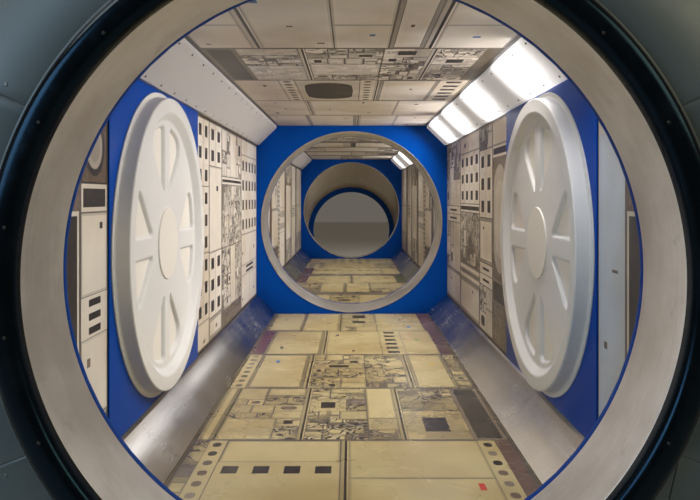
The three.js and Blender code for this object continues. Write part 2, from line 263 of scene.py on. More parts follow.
def rivet_rows(bm, corners, outward):
    """Rows of rivets just inside the edges of a flat outline."""
    middle = sum(corners, Vector()) / len(corners)
    for start, end in zip(corners, corners[1:] + corners[:1]):
        along = (end - start).normalized()
        inward = outward.cross(along).normalized()
        if inward.dot(middle - start) < 0:
            inward.negate()
        run = (end - start).length - 2 * RIVET_EDGE
        steps = max(1, round(run / RIVET_PITCH))
        for step in range(steps):
            place = start + along * (RIVET_EDGE + run * step / steps) + inward * RIVET_EDGE
            add_stud(bm, place, outward, RIVET_RADIUS, RIVET_HEIGHT, segments=8)


def cut_plane(bm, place, normal, clear_outer=False):
    """Cuts everything at a plane, and takes away what lies past it where that is asked for."""
    geom = bm.verts[:] + bm.edges[:] + bm.faces[:]
    bmesh.ops.bisect_plane(bm, geom=geom, plane_co=place, plane_no=normal, clear_outer=clear_outer)


def groove_round(bm, faces):
    """Leaves a fine groove around some sheets by raising what lies inside it."""
    bmesh.ops.inset_individual(
        bm,
        faces=faces,
        thickness=GROOVE_WIDTH,
        depth=GROOVE_DEEP,
        use_even_offset=True,
    )


for drum, bay_count in BAYS.items():
    for side in SHEET_SIDES:
        node = f"{drum}_hull_{side}"
        low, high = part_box(node)
        sheet = solid_copy(node)
        outside = max(sheet.faces, key=lambda face: (face.calc_center_median() - Vector((0, 0, axis_z)))
                      .dot(face.normal) * (abs(face.normal.y) < 0.5))
        outward = outside.normal.copy()
        bmesh.ops.translate(sheet, verts=outside.verts[:], vec=-outward * (RIVET_HEIGHT + GROOVE_DEEP))
        for cut in range(1, bay_count):
            cut_plane(sheet, (0, low.y + (high.y - low.y) * cut / bay_count, 0), (0, 1, 0))
        bays = [face for face in sheet.faces if face.normal.dot(outward) > 0.999]
        groove_round(sheet, bays)
        for outline in [[vert.co.copy() for vert in bay.verts] for bay in bays]:
            rivet_rows(sheet, outline, outward)
        finish_piece(f"{drum}_sheet_{side}", sheet, hull_paint, "hull_paint", node)


# End faces: eight sheets that slope from the drum's edge up to a flat round flange around the passage. They
# meet at grooved seams that run out from the flange to the drum's corners, with rivets on both sides.
FACE_ROUND = 192
FACE_SLOPE_RUN = 0.300
FACE_RIM = 0.024
FACE_FLANGE_RADIUS = 0.560
HOOP_CLEARANCE = 0.0006
SEAM_RIVET_ASIDE = 0.020
SEAM_RIVET_PITCH = 0.062
SEAM_GAP = 0.0006
FLANGE_SOFT = 0.0025
FLANGE_LAP = 0.006
NEARLY = 0.0001

face_paint = painted("face_paint", (0.050, 0.072, 0.084), (0.12, 0.14, 0.15), 0.36, scuffs=0.35)


def join_into(bm, other):
    """Adds one bmesh to another and frees it."""
    mesh = bpy.data.meshes.new("joined")
    other.to_mesh(mesh)
    other.free()
    bm.from_mesh(mesh)
    bpy.data.meshes.remove(mesh)


def turned(bm, profile, middle_z, steps, closed=False):
    """Turns a profile of (radius, y) points once around the passages' axis."""
    verts = [bm.verts.new((radius, y, middle_z)) for radius, y in profile]
    edges = [bm.edges.new(pair) for pair in zip(verts, verts[1:] + verts[:closed])]
    bmesh.ops.spin(
        bm,
        geom=verts + edges,
        cent=(0, 0, middle_z),
        axis=(0, 1, 0),
        dvec=(0, 0, 0),
        angle=2 * math.pi,
        steps=steps,
        use_merge=True,
        use_duplicate=False,
    )


def spun(bm, profile, middle_z, steps):
    """Adds a ring turned from a closed profile of (radius, y) points."""
    ring = bmesh.new()
    turned(ring, profile, middle_z, steps, closed=True)
    bmesh.ops.remove_doubles(ring, verts=ring.verts, dist=WELD)
    bmesh.ops.recalc_face_normals(ring, faces=ring.faces)
    join_into(bm, ring)


def soft_profile(corners, soft, steps=4):
    """A profile's corners, each rounded off by an arc of a given size."""
    profile = []
    count = len(corners)
    for index, corner in enumerate(corners):
        here = Vector(corner)
        before = Vector(corners[index - 1])
        after = Vector(corners[(index + 1) % count])
        reach = min(soft, (before - here).length * 0.49, (after - here).length * 0.49)
        start = here + (before - here).normalized() * reach
        end = here + (after - here).normalized() * reach
        for step in range(steps + 1):
            share = step / steps
            first = start.lerp(here, share)
            second = here.lerp(end, share)
            profile.append(tuple(first.lerp(second, share)))
    return profile


# The outward direction of each of the drum's eight sides in X and Z, and how far out it lies.
DRUM_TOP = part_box("fore_hull_top")[1]
DRUM_HALF = DRUM_TOP.z - axis_z
DRUM_SLANT = (DRUM_HALF + DRUM_TOP.x) / math.sqrt(2)
DRUM_PLANES = []
for index in range(8):
    angle = index * math.pi / 4
    direction = Vector((math.cos(angle), 0, math.sin(angle)))
    DRUM_PLANES.append((direction, DRUM_SLANT if index % 2 else DRUM_HALF))


def flat_ring(inner_radius, outer_radius, steps, middle_z):
    """A flat ring that faces along the passages."""
    bm = bmesh.new()
    turned(bm, [(inner_radius, 0), (outer_radius, 0)], middle_z, steps)
    bmesh.ops.remove_doubles(bm, verts=bm.verts, dist=WELD)
    return bm


def hip_ends(index):
    """The seam between one side of the drum and the next, from the flange to the rim, in X and Z."""
    first, second = DRUM_PLANES[index % 8], DRUM_PLANES[(index + 1) % 8]
    cosine = first[0].dot(second[0])
    share_first = (first[1] - second[1] * cosine) / (1 - cosine**2)
    share_second = (second[1] - first[1] * cosine) / (1 - cosine**2)
    rim = first[0] * share_first + second[0] * share_second
    along = (first[0] + second[0]).normalized()
    reach = rim.length - FACE_FLANGE_RADIUS - RIVET_EDGE
    return rim - along * reach, rim - along * RIVET_EDGE


def hoop_place(hoop):
    """The height of a hoop's axis, and the radius of the hole that it passes through."""
    low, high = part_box(hoop)
    return (low.z + high.z) / 2, high.x + HOOP_CLEARANCE


def end_face(name, node, hoop, front_y, back_y):
    """An end face whose flange is at front_y, around a hoop, and whose back lies on the drum at back_y."""
    passage_z, hole_radius = hoop_place(hoop)
    outward = -1.0 if front_y < back_y else 1.0
    rim_y = back_y + outward * FACE_RIM
    slope = (abs(front_y - back_y) - FACE_RIM) / FACE_SLOPE_RUN
    middle = Vector((0, 0, axis_z))
    face = bmesh.new()
    for index in range(8):
        direction, distance = DRUM_PLANES[index]
        side = Vector((-direction.z, 0, direction.x))
        sheet = flat_ring(FACE_FLANGE_RADIUS - FLANGE_LAP, DRUM_HALF * 1.5, FACE_ROUND, passage_z)
        cut_plane(sheet, middle + direction * distance, direction, clear_outer=True)
        for neighbour in (index - 1, index + 1):
            other, other_distance = DRUM_PLANES[neighbour % 8]
            hip = other - direction
            offset = (other_distance - distance) / hip.length - SEAM_GAP / 2
            cut_plane(sheet, middle + hip.normalized() * offset, hip, clear_outer=True)
        bmesh.ops.dissolve_faces(sheet, faces=sheet.faces[:])
        for vert in sheet.verts:
            inside = distance - direction.dot(vert.co - middle)
            vert.co.y = rim_y + outward * (slope * inside - RIVET_HEIGHT - GROOVE_DEEP)
        bmesh.ops.recalc_face_normals(sheet, faces=sheet.faces)
        if sheet.faces[:][0].normal.y * outward < 0:
            bmesh.ops.reverse_faces(sheet, faces=sheet.faces[:])
        rim = [edge for edge in sheet.edges if all(
            distance - direction.dot(vert.co - middle) < NEARLY for vert in edge.verts)]
        skirt = bmesh.ops.extrude_edge_only(sheet, edges=rim)["geom"]
        for part in skirt:
            if isinstance(part, bmesh.types.BMVert):
                part.co.y = back_y
        groove_round(sheet, [facet for facet in sheet.faces if abs(facet.normal.y) > 0.9])
        low_hip, high_hip = hip_ends(index - 1), hip_ends(index)
        spots = []
        for (start, end), sign in ((low_hip, 1.0), (high_hip, -1.0)):
            steps = round((end - start).length / SEAM_RIVET_PITCH)
            for step in range(steps):
                spots.append(start.lerp(end, (step + 0.5) / steps) + side * sign * SEAM_RIVET_ASIDE)
        low_rim, high_rim = low_hip[1], high_hip[1]
        steps = round((high_rim - low_rim).length / RIVET_PITCH)
        for step in range(1, steps):
            spots.append(low_rim.lerp(high_rim, step / steps))
        normal = (direction * slope + Vector((0, outward, 0))).normalized()
        for spot in spots:
            inside = distance - direction.dot(spot)
            place = middle + spot
            place.y = rim_y + outward * (slope * inside - RIVET_HEIGHT)
            add_stud(sheet, place, normal, RIVET_RADIUS, RIVET_HEIGHT, segments=10)
        join_into(face, sheet)
    flange = [(hole_radius, back_y), (hole_radius, front_y)]
    flange += [(FACE_FLANGE_RADIUS, front_y), (FACE_FLANGE_RADIUS, back_y)]
    spun(face, soft_profile(flange, FLANGE_SOFT), passage_z, FACE_ROUND)
    finish_piece(name, face, face_paint, "face_paint", node)


for name, node, hoop, faces_front in (
    ("entrance_face_sheets", "entrance_face", "entrance_hoop", True),
    ("fore_back_sheets", "fore_back_face", "neck_hoop", False),
    ("aft_front_sheets", "aft_front_face", "neck_hoop", True),
    ("aft_back_sheets", "aft_back_face", "exit_hoop", False),
):
    low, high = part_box(node)
    front_y, back_y = (low.y, high.y) if faces_front else (high.y, low.y)
    end_face(name, node, hoop, front_y, back_y)


# Bulkheads: a blue painted board with a round hole closes each end of a cabin, and an eight-sided one
# stands at the end of the exit tube. They are cut from sheet, and every edge is softened before painting,
# most of all the entrance's inner edge, which people lean on as they climb in.
BOARD_EDGE = 0.0015
HOLE_EDGE = 0.006
HOLE_WITHIN = 0.51
BULKHEADS = [f"{drum}_bulkhead_{end}" for drum in BAYS for end in ("front", "back")] + ["exit_plate"]

blue_paint = painted("blue_paint", (0.0002, 0.053, 0.315), (0.01, 0.07, 0.34), 0.42, 0.15,
                     bump=0.0001, level=0.10)
# The entrance bulkhead's darker blue is painted shade on the edge of its hole, the part of it seen from the
# front.
shade_painted_blue = painted("shade_painted_blue", (0.0002, 0.034, 0.200), (0.01, 0.05, 0.22), 0.42, 0.15,
                     bump=0.0001, level=0.10)

for node in BULKHEADS:
    bulkhead = solid_copy(node)
    paint = blue_paint
    # The entrance bulkhead takes the darker blue: painted shade on its hole's edge.
    if node == "fore_bulkhead_front":
        paint = shade_painted_blue
        back_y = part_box(node)[1].y
        hole = [edge for edge in bulkhead.edges if all(
            abs(vert.co.y - back_y) < NEARLY and math.hypot(vert.co.x, vert.co.z - axis_z) < HOLE_WITHIN
            for vert in edge.verts)]
        round_edges(bulkhead, HOLE_EDGE, segments=5, edges=hole, clamp=False)
    round_edges(bulkhead, BOARD_EDGE)
    finish_piece(f"{node}_board", bulkhead, paint, "blue_paint", node)


# Entrance gasket: a fat bulb of glossy black rubber around the entrance, pressed against the face's flange
# and held by twenty button screws in its crown.
GASKET_STEPS = 30
GASKET_SQUARE = 3.0
GASKET_INNER = 0.5005
GASKET_SCREWS = 20
GASKET_SCREW_CIRCLE = 0.5185
GASKET_SCREW_RADIUS = 0.0030
GASKET_SCREW_HEIGHT = 0.0014

gasket_rubber, net, shader, place = new_material("gasket_rubber")
dust = net.noise(place, 14.0, 5.0, 0.65)
net.feed(shader, {
    "Base Color": net.mix(net.remap(dust, 0.45, 0.75), (0.0018, 0.0022, 0.0028), (0.0045, 0.0050, 0.0055)),
    "Roughness": net.remap(dust, 0.3, 0.8, 0.15, 0.27),
    "Specular IOR Level": 0.22,
    # The rubber's highlights are tinted blue: a painted blue reflection.
    "Specular Tint": (0.25, 0.60, 1.0),
})
net.bump(shader, net.noise(place, 260.0, 2.0), 0.00008)


def bulb_depth(share, proud):
    """How far a squared-off bulb stands out at a share of its width, from 0 to 1."""
    return proud * (1 - abs(2 * share - 1) ** GASKET_SQUARE) ** (1 / GASKET_SQUARE)


gasket_low, gasket_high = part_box("entrance_gasket")
gasket_wide = gasket_high.x - GASKET_INNER
gasket_proud = gasket_high.y - gasket_low.y - GASKET_SCREW_HEIGHT
gasket_profile = []
for step in range(GASKET_STEPS + 1):
    share = (1 - math.cos(math.pi * step / GASKET_STEPS)) / 2
    y = gasket_high.y - bulb_depth(share, gasket_proud)
    gasket_profile.append((GASKET_INNER + gasket_wide * share, y))
gasket = bmesh.new()
spun(gasket, gasket_profile, axis_z, FACE_ROUND)
finish_piece("gasket_bulb", gasket, gasket_rubber, "gasket_rubber", "entrance_gasket")

gasket_screws = bmesh.new()
crown_y = gasket_high.y - bulb_depth((GASKET_SCREW_CIRCLE - GASKET_INNER) / gasket_wide, gasket_proud)
for index in range(GASKET_SCREWS):
    angle = 2 * math.pi * (index + 0.5) / GASKET_SCREWS
    x, z = GASKET_SCREW_CIRCLE * math.cos(angle), GASKET_SCREW_CIRCLE * math.sin(angle)
    place = (x, crown_y, axis_z + z)
    add_stud(gasket_screws, place, (0, -1, 0), GASKET_SCREW_RADIUS, GASKET_SCREW_HEIGHT, segments=12)
black_screw = painted("black_screw", (0.012, 0.013, 0.015), (0.035, 0.036, 0.038), 0.38, metallic=0.4)
finish_piece("gasket_screws", gasket_screws, black_screw, "aluminium")


# Hoops: rings of rolled aluminium sheet, one in each round passage, with a soft edge against the bulkhead.
# The neck's hoop has two seams around it. Hands and knees have polished them all into soft clouds.
HOOP_INNER = 0.500
HOOP_SOFT = 0.0016
HOOP_GROOVE = 0.0020
HOOP_BRUSHING = (9.0, 190.0, 9.0)
HOOP_COLOR = (0.50, 0.475, 0.445)
HOOPS = {"entrance_hoop": [], "neck_hoop": [0.38, 0.62], "exit_hoop": []}

# Bare worn metal: fine brushing along one axis, cloudy polish and small dark smudges.
bare_metal, net, given, film = film_group("bare metal", Brushing="Vector", Clouded="Color")
place = given["Vector"]
brushed = net.add("VectorMath", {0: place, 1: given["Brushing"]}, operation="MULTIPLY").outputs[0]
lines = net.noise(brushed, 1.0, 3.0, 0.6)
cloudy = net.remap(net.noise(place, 5.5, 5.0, 0.55), 0.32, 0.68)
smudged = net.remap(net.noise(place, 17.0, 3.0, 0.5), 0.64, 0.76, 0.0, 0.22)
color = net.mix(cloudy, given["Color"], given["Clouded"])
color = net.scaled(color, net.calc("MULTIPLY_ADD", lines, 0.24, 0.88))
rough = net.calc("ADD", given["Gloss"], net.calc("MULTIPLY_ADD", cloudy, 0.08, -0.04))
rough = net.calc("ADD", rough, net.calc("MULTIPLY_ADD", lines, 0.10, -0.05), clamp=True)
net.feed(film, {"Color": net.mix(smudged, color, (0.10, 0.095, 0.09)), "Roughness": rough, "Height": lines})


def metal(name, color, clouded, gloss, brushing, bump=0.0002, metallic=1.0):
    """A bare metal finish with its brushing drawn out along the axis whose scale is smallest."""
    material, net, shader, place = new_material(name)
    given = {"Vector": place, "Color": color, "Clouded": clouded, "Gloss": gloss, "Brushing": brushing}
    lay_film(net, shader, bare_metal, given, bump)
    net.feed(shader, {"Metallic": metallic})
    return material


hoop_metal = metal("hoop_metal", HOOP_COLOR, (0.68, 0.66, 0.635), 0.40, HOOP_BRUSHING, metallic=0.75)

for node, grooves in HOOPS.items():
    low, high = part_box(node)
    inside = [(HOOP_INNER, high.y)]
    for share in reversed(grooves):
        groove_y = low.y + (high.y - low.y) * share
        inside += [
            (HOOP_INNER, groove_y + HOOP_GROOVE),
            (HOOP_INNER + HOOP_GROOVE, groove_y),
            (HOOP_INNER, groove_y - HOOP_GROOVE),
        ]
    outside = [(HOOP_INNER, low.y), (high.x, low.y), (high.x, high.y)]
    hoop = bmesh.new()
    spun(hoop, soft_profile(outside + inside, HOOP_SOFT), hoop_place(node)[0], FACE_ROUND)
    finish_piece(f"{node}_sheet", hoop, hoop_metal, "aluminium", node)


# Neck sleeve and exit collar: a ribbed rubber sleeve closes the gap between the drums, and a turned collar
# holds the exit tube to the aft drum. Both lie around the passage on the outside.
SLEEVE_RIBS = 4
SLEEVE_STEPS = 12
SLEEVE_RIB_DEEP = 0.009
COLLAR_SOFT = 0.003

sleeve_low, sleeve_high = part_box("neck_sleeve")
sleeve_z, sleeve_inner = hoop_place("neck_hoop")
sleeve_profile = [(sleeve_inner, sleeve_low.y)]
for step in range(SLEEVE_RIBS * SLEEVE_STEPS + 1):
    share = step / (SLEEVE_RIBS * SLEEVE_STEPS)
    dip = SLEEVE_RIB_DEEP * (0.5 + 0.5 * math.cos(2 * math.pi * SLEEVE_RIBS * share)) ** 2
    sleeve_profile.append((sleeve_high.x - dip, sleeve_low.y + (sleeve_high.y - sleeve_low.y) * share))
sleeve_profile.append((sleeve_inner, sleeve_high.y))
sleeve = bmesh.new()
spun(sleeve, sleeve_profile, sleeve_z, FACE_ROUND)
finish_piece("neck_sleeve_rubber", sleeve, gasket_rubber, "gasket_rubber", "neck_sleeve")

low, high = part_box("exit_collar")
collar_z, collar_inner = hoop_place("exit_hoop")
collar_profile = [(collar_inner, low.y), (high.x, low.y), (high.x, high.y), (collar_inner, high.y)]
collar = bmesh.new()
spun(collar, soft_profile(collar_profile, COLLAR_SOFT), collar_z, FACE_ROUND)
finish_piece("exit_collar_ring", collar, gasket_rubber, "gasket_rubber", "exit_collar")


# Exit tube: two lengths of smooth beige tube, one a sheet's thickness inside the other, that lead out of the
# aft drum, step down and end level at the exit plate. A flat strip covers the seam along their top.
TUBE_ROUND = 128
TUBE_STEPS = 26
TUBE_END_LEVEL = 0.010
TUBE_LEVEL = 0.0294
TUBE_JOINT_STEP = 15
TUBE_JOINT_RUN = 0.02
TUBE_JOINT = 0.0020
STRIP_WIDTH = 0.044
STRIP_THICK = 0.0022
STRIP_ASIDE = 0.024
STRIP_CLEAR = 0.0012

tube_paint = painted("tube_paint", (0.40, 0.33, 0.215), (0.46, 0.40, 0.29), 0.24, scuffs=0.25, bump=0.0002)

tube_low, tube_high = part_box("exit_tube")
tube_start_z = hoop_place("exit_hoop")[0]
tube_drop = tube_high.z - tube_low.z - 2 * tube_high.x
tube_bend = tube_high.y - TUBE_END_LEVEL - tube_low.y - TUBE_LEVEL
tube_stations = [Vector((0, tube_low.y, tube_start_z))]
for step in range(TUBE_STEPS + 1):
    share = step / TUBE_STEPS
    station_y = tube_low.y + TUBE_LEVEL + tube_bend * share
    tube_stations.append(Vector((0, station_y, tube_start_z - tube_drop * share)))
tube_stations.append(Vector((0, tube_high.y, tube_start_z - tube_drop)))


def drawn_along(bm, stations, narrower_after=None):
    """Draws a flat upright section along some stations. Past one of them, its inside is narrower."""
    section = bm.faces[:]
    for index, (start, end) in enumerate(zip(stations, stations[1:])):
        moved = bmesh.ops.extrude_face_region(bm, geom=section)["geom"]
        section = [part for part in moved if isinstance(part, bmesh.types.BMFace)]
        verts = [part for part in moved if isinstance(part, bmesh.types.BMVert)]
        bmesh.ops.translate(bm, verts=verts, vec=end - start)
        if index == narrower_after:
            for vert in verts:
                aside = Vector((vert.co.x, 0, vert.co.z - end.z))
                if aside.length < (HOOP_INNER + tube_high.x) / 2:
                    vert.co -= aside.normalized() * TUBE_JOINT
    bmesh.ops.recalc_face_normals(bm, faces=bm.faces)


tube = flat_ring(HOOP_INNER, tube_high.x, TUBE_ROUND, tube_start_z)
bmesh.ops.translate(tube, verts=tube.verts[:], vec=(0, tube_low.y, 0))
joint, beyond = tube_stations[TUBE_JOINT_STEP:TUBE_JOINT_STEP + 2]
tube_stations.insert(TUBE_JOINT_STEP + 1, joint + (beyond - joint) * TUBE_JOINT_RUN)
drawn_along(tube, tube_stations, narrower_after=TUBE_JOINT_STEP)
finish_piece("exit_tube_shell", tube, tube_paint, "tube_paint", "exit_tube")

strip = bmesh.new()
strip_z = tube_start_z + HOOP_INNER - TUBE_JOINT - STRIP_THICK / 2 - STRIP_CLEAR
bmesh.ops.create_grid(
    strip,
    x_segments=1,
    y_segments=1,
    size=0.5,
    matrix=Matrix.Translation((STRIP_ASIDE, tube_low.y, strip_z))
    @ Matrix.Rotation(math.pi / 2, 4, "X")
    @ Matrix.Diagonal((STRIP_WIDTH, STRIP_THICK, 1, 1)),
)
drawn_along(strip, tube_stations)
finish_piece("exit_tube_strip", strip, tube_paint, "tube_paint")


# Printed boards: the cabins' floors, ceilings and walls are boards with a laminate that shows rows of
# equipment racks in print. Each print is parted here into its own fields, and every field gets its colour.
SEAM_INK = (0.105, 0.090, 0.082)
DARK_INK = (0.026, 0.022, 0.025)
BROWN_INK = (0.135, 0.095, 0.070)
MARK_INKS = [(0.50, 0.035, 0.025), (0.55, 0.38, 0.04), (0.05, 0.16, 0.42), (0.10, 0.26, 0.09)]
MARK_INKS += [DARK_INK, SEAM_INK, BROWN_INK] * 3
SHADE_INK = (0.200, 0.165, 0.130)
FINE_LINE = 0.0016
SEAM_LINE = 0.0028
BAY_LINE = 0.0046
LABEL_PITCH = 0.17
PIPE_PITCH = 0.034
DRAWER_PITCH = 0.075
SMALL_BOX = 0.09
# Widths, by kind of board, of the dark strips of painted shade along the joints with lamp panels and kick
# plates.
JOINT_SHADE_LINES = {"floor": 0.003, "ceiling": 0.012, "wall": 0.005}
GRATE = 2.0
sheet = {}


def ink(face, color, clutter=0.0):
    """Colours one field of a print and says how much cabling shows in it."""
    for loop in face.loops:
        loop[sheet["ink"]] = (*color, clutter)


def tone(spread=0.05, level=1.0):
    """The board's own ground colour at a level, a little lighter or darker."""
    share = level * (1 + sheet["random"].uniform(-spread, spread))
    return tuple(channel * share for channel in sheet["ground"])


def extent(face, axis):
    """A field's lowest and highest place along an axis."""
    places = [vert.co[axis] for vert in face.verts]
    return min(places), max(places)


def measured(face):
    """A field's size along and across the board, by axis."""
    return {axis: extent(face, axis)[1] - extent(face, axis)[0] for axis in (sheet["along"], sheet["across"])}


def split(face, axis, place):
    """Parts a field in two at a place along an axis; gives the lower field and the upper one."""
    low, high = extent(face, axis)
    normal = Vector([float(index == axis) for index in range(3)])
    parts = bmesh.ops.bisect_plane(
        sheet["bm"],
        geom=[face] + face.edges[:] + face.verts[:],
        dist=0.000005,
        plane_co=normal * min(max(place, low + 0.0002), high - 0.0002),
        plane_no=normal,
    )["geom"]
    fields = [part for part in parts if isinstance(part, bmesh.types.BMFace)]
    return sorted(fields, key=lambda field: field.calc_center_bounds()[axis])


def split_shares(face, axis, shares):
    """Parts a field along an axis into fields whose sizes are in proportion to some shares."""
    low, high = extent(face, axis)
    whole = sum(shares)
    done = 0.0
    fields = []
    for share in shares[:-1]:
        done += share
        lower, face = split(face, axis, low + (high - low) * done / whole)
        fields.append(lower)
    return fields + [face]


def row(face, axis_name, size, least=1):
    """Parts a field into a row of like fields about a size long."""
    axis = sheet[axis_name]
    count = max(least, round(measured(face)[axis] / size))
    return split_shares(face, axis, [1] * count)


def line_round(face, width, color=SEAM_INK):
    """Draws a line just inside a field's edge. The field itself becomes what the line encloses."""
    room = min(measured(face).values())
    line = bmesh.ops.inset_individual(
        sheet["bm"],
        faces=[face],
        thickness=min(width, room * 0.3),
        use_even_offset=True,
    )["faces"]
    for part in line:
        ink(part, color)


def cut_field(face, along_shares, across_shares):
    """Cuts a smaller field out of a field, between two shares each way; gives the smaller field."""
    for axis, shares in ((sheet["along"], along_shares), (sheet["across"], across_shares)):
        low, high = extent(face, axis)
        face = split(face, axis, low + (high - low) * shares[0])[1]
        face = split(face, axis, low + (high - low) * shares[1])[0]
    return face


def cut_round(face, reach, color):
    """Draws a round or a long round spot, as wide as a share of a field, in its middle; gives the spot."""
    bm = sheet["bm"]
    middle = face.calc_center_bounds()
    normal = face.normal.copy()
    sizes = measured(face)
    short, long = sorted(sizes, key=sizes.get)
    stretch = reach * (sizes[long] - sizes[short]) / 2
    turn = Vector((0, 0, 1)).rotation_difference(normal).to_matrix().to_4x4()
    ring = bmesh.ops.create_circle(
        bm,
        cap_ends=False,
        segments=20,
        radius=reach * sizes[short] / 2,
        matrix=Matrix.Translation(middle) @ turn,
    )["verts"]
    for vert in ring:
        aside = vert.co[long] - middle[long]
        if abs(aside) > NEARLY:
            vert.co[long] += math.copysign(stretch, aside)
    ring_edges = list({edge for vert in ring for edge in vert.link_edges})
    ground = tuple(face.loops[0][sheet["ink"]])
    border = face.edges[:]
    bmesh.ops.delete(bm, geom=[face], context="FACES_ONLY")
    around = bmesh.ops.triangle_fill(bm, use_beauty=False, edges=border + ring_edges, normal=normal)["geom"]
    spot = bm.faces.new(ring)
    for part in [part for part in around if isinstance(part, bmesh.types.BMFace)] + [spot]:
        part.normal_update()
        if part.normal.dot(normal) < 0:
            part.normal_flip()
        ink(part, ground[:3], ground[3])
    ink(spot, color)
    return spot


def small_mark(face):
    """Draws a small label or fitting somewhere on a field."""
    chance = sheet["random"]
    shares = []
    for size, (least, most) in zip(measured(face).values(), ((0.010, 0.042), (0.006, 0.020))):
        share = min(chance.uniform(least, most) / size, 0.5)
        start = chance.uniform(0.08, 0.92 - share)
        shares.append((start, start + share))
    color = chance.choice(MARK_INKS)
    ink(cut_field(face, *shares), color)


def plain(face):
    """A plain cover with a dark seam around it, a soft shade along the seam, and a few labels."""
    line_round(face, FINE_LINE)
    line_round(face, 0.005, tone(0.1, 0.80))
    ink(face, tone(0.04))
    for field in row(face, "along", LABEL_PITCH):
        if sheet["random"].random() < 0.75:
            small_mark(field)


def framed(face):
    """A cover in a dark frame."""
    line_round(face, SEAM_LINE)
    line_round(face, 0.010, tone(0.1, 0.50))
    line_round(face, FINE_LINE)
    ink(face, tone(0.06))
    small_mark(face)


def dark(face):
    """A dark opening with a pale edge."""
    line_round(face, FINE_LINE)
    line_round(face, 0.009, tone())
    ink(face, DARK_INK, 0.12)


def grate(face):
    """A dark grating in a shaded frame."""
    line_round(face, 0.010, SHADE_INK)
    ink(face, (0.085, 0.078, 0.070), GRATE)


def brown(face):
    """A strip of bare brown structure."""
    ink(face, tuple(channel * sheet["random"].uniform(0.7, 1.3) for channel in BROWN_INK), 0.35)


def shaded(face):
    """A part in deep shade, full of cabling."""
    line_round(face, SEAM_LINE)
    ink(face, SHADE_INK, 0.8)


def post(face):
    """A dark upright with a thin light edge on one side."""
    fields = split_shares(face, sheet["across"], [4, 3, 2])
    for field, color in zip(fields, (tone(0.1, 0.72), DARK_INK, tone())):
        ink(field, color)


def pipes(face):
    """Conduits that run along the board, light on one side and dark between."""
    for field in row(face, "across", PIPE_PITCH):
        for part, level in zip(split_shares(field, sheet["across"], [2, 3, 2, 1]), (0.55, 1.0, 0.40, 0.10)):
            ink(part, tone(0.1, level))


def slot(face):
    """A dark rectangle in a plain cover."""
    ink(face, tone(0.03))
    ink(cut_field(face, (0.28, 0.74), (0.22, 0.74)), DARK_INK)


def spot(face):
    """A round knob or vent on a plain cover."""
    ink(face, tone(0.03))
    cut_round(face, 0.50, sheet["random"].choice([DARK_INK, BROWN_INK, BROWN_INK, SEAM_INK, SHADE_INK]))


def port(face):
    """A long round window in a frame."""
    line_round(face, SEAM_LINE)
    ink(face, tone(0.03, 0.86))
    cut_round(face, 0.80, DARK_INK)


def lens(face):
    """A pale round cap in a brown recess."""
    line_round(face, SEAM_LINE, DARK_INK)
    ink(face, BROWN_INK, 0.3)
    cut_round(cut_round(cut_round(face, 0.84, DARK_INK), 0.76, tone(0.0, 0.60)), 0.70, tone(0.0, 0.45))


def tank(face):
    """A long pale rounded tank in a shaded bay."""
    ink(face, SHADE_INK, 0.5)
    cut_round(cut_round(face, 0.88, tone(0.0, 0.66)), 0.72, tone(0.0, 0.84))


def cool_lit_cover(face):
    """A cover with a few labels, painted a pale blue-grey: painted cool light that falls in through the
    entrance.
    """
    ink(face, (0.50, 0.55, 0.62))
    for field in split_shares(face, sheet["across"], [2, 3, 2, 3]):
        small_mark(field)


def rows(motif, axis_name, size):
    """A motif repeated in a row of like fields about a size long."""
    def draw(face):
        for field in row(face, axis_name, size):
            motif(field)
    return draw


def boxed(motif):
    """A motif inside a dark seam."""
    def draw(face):
        line_round(face, FINE_LINE)
        motif(face)
    return draw


def drawers(face):
    """A stack of drawers, each with a dark slot for its handle."""
    for field in row(face, "across", DRAWER_PITCH, least=2):
        line_round(field, FINE_LINE)
        ink(field, tone(0.10, 0.92))
        ink(cut_field(field, (0.25, 0.75), (0.38, 0.62)), DARK_INK)


def scatter(face, depth=0):
    """Boxes of many sizes with dark outlines, and cabling in and between them."""
    chance = sheet["random"]
    sizes = measured(face)
    longest = max(sizes, key=sizes.get)
    if sizes[longest] > SMALL_BOX and (depth < 1 or chance.random() < 0.72):
        share = chance.uniform(0.28, 0.72)
        for field in split_shares(face, longest, [share, 1 - share]):
            scatter(field, depth + 1)
        return
    kind = chance.random()
    line_round(face, chance.choice([FINE_LINE, FINE_LINE, SEAM_LINE]))
    if kind < 0.28:
        line_round(face, 0.005, tone(0.1, 0.75))
        ink(face, tone(0.10), chance.uniform(0.0, 0.4))
    elif kind < 0.31:
        ink(face, SHADE_INK, 0.7)
    elif kind < 0.36 and min(sizes.values()) < SMALL_BOX:
        ink(face, tone(0.10))
        cut_round(face, 0.6, chance.choice([DARK_INK, BROWN_INK, tone(0.0, 0.7)]))
    elif kind < 0.46:
        ink(face, tone(0.08), 0.5)
        ink(cut_field(face, (0.25, 0.75), (0.3, 0.7)), DARK_INK, 0.3)
    else:
        ink(face, tone(0.14, 0.92), 1.0)


slots = rows(rows(slot, "across", 0.085), "along", 0.085)
slot_columns = rows(rows(boxed(rows(slot, "across", 0.090)), "across", 0.27), "along", 0.115)
spots = rows(rows(spot, "across", 0.046), "along", 0.064)
vents = rows(slot, "across", 0.028)
covers = rows(rows(plain, "across", 0.24), "along", 0.26)
doors = rows(framed, "across", 0.24)


def band(face):
    """A cover with one row of dark openings across it."""
    line_round(face, SEAM_LINE)
    near, middle, far = split_shares(face, sheet["along"], [5, 2, 3])
    ink(near, tone(0.03))
    rows(slot, "across", 0.072)(middle)
    plain(far)


# The part of a board's width, from the middle, that the lamp panels and kick plates leave in sight.
SHOWN = {0: (-0.422, 0.422), 2: (-0.420, 0.416)}


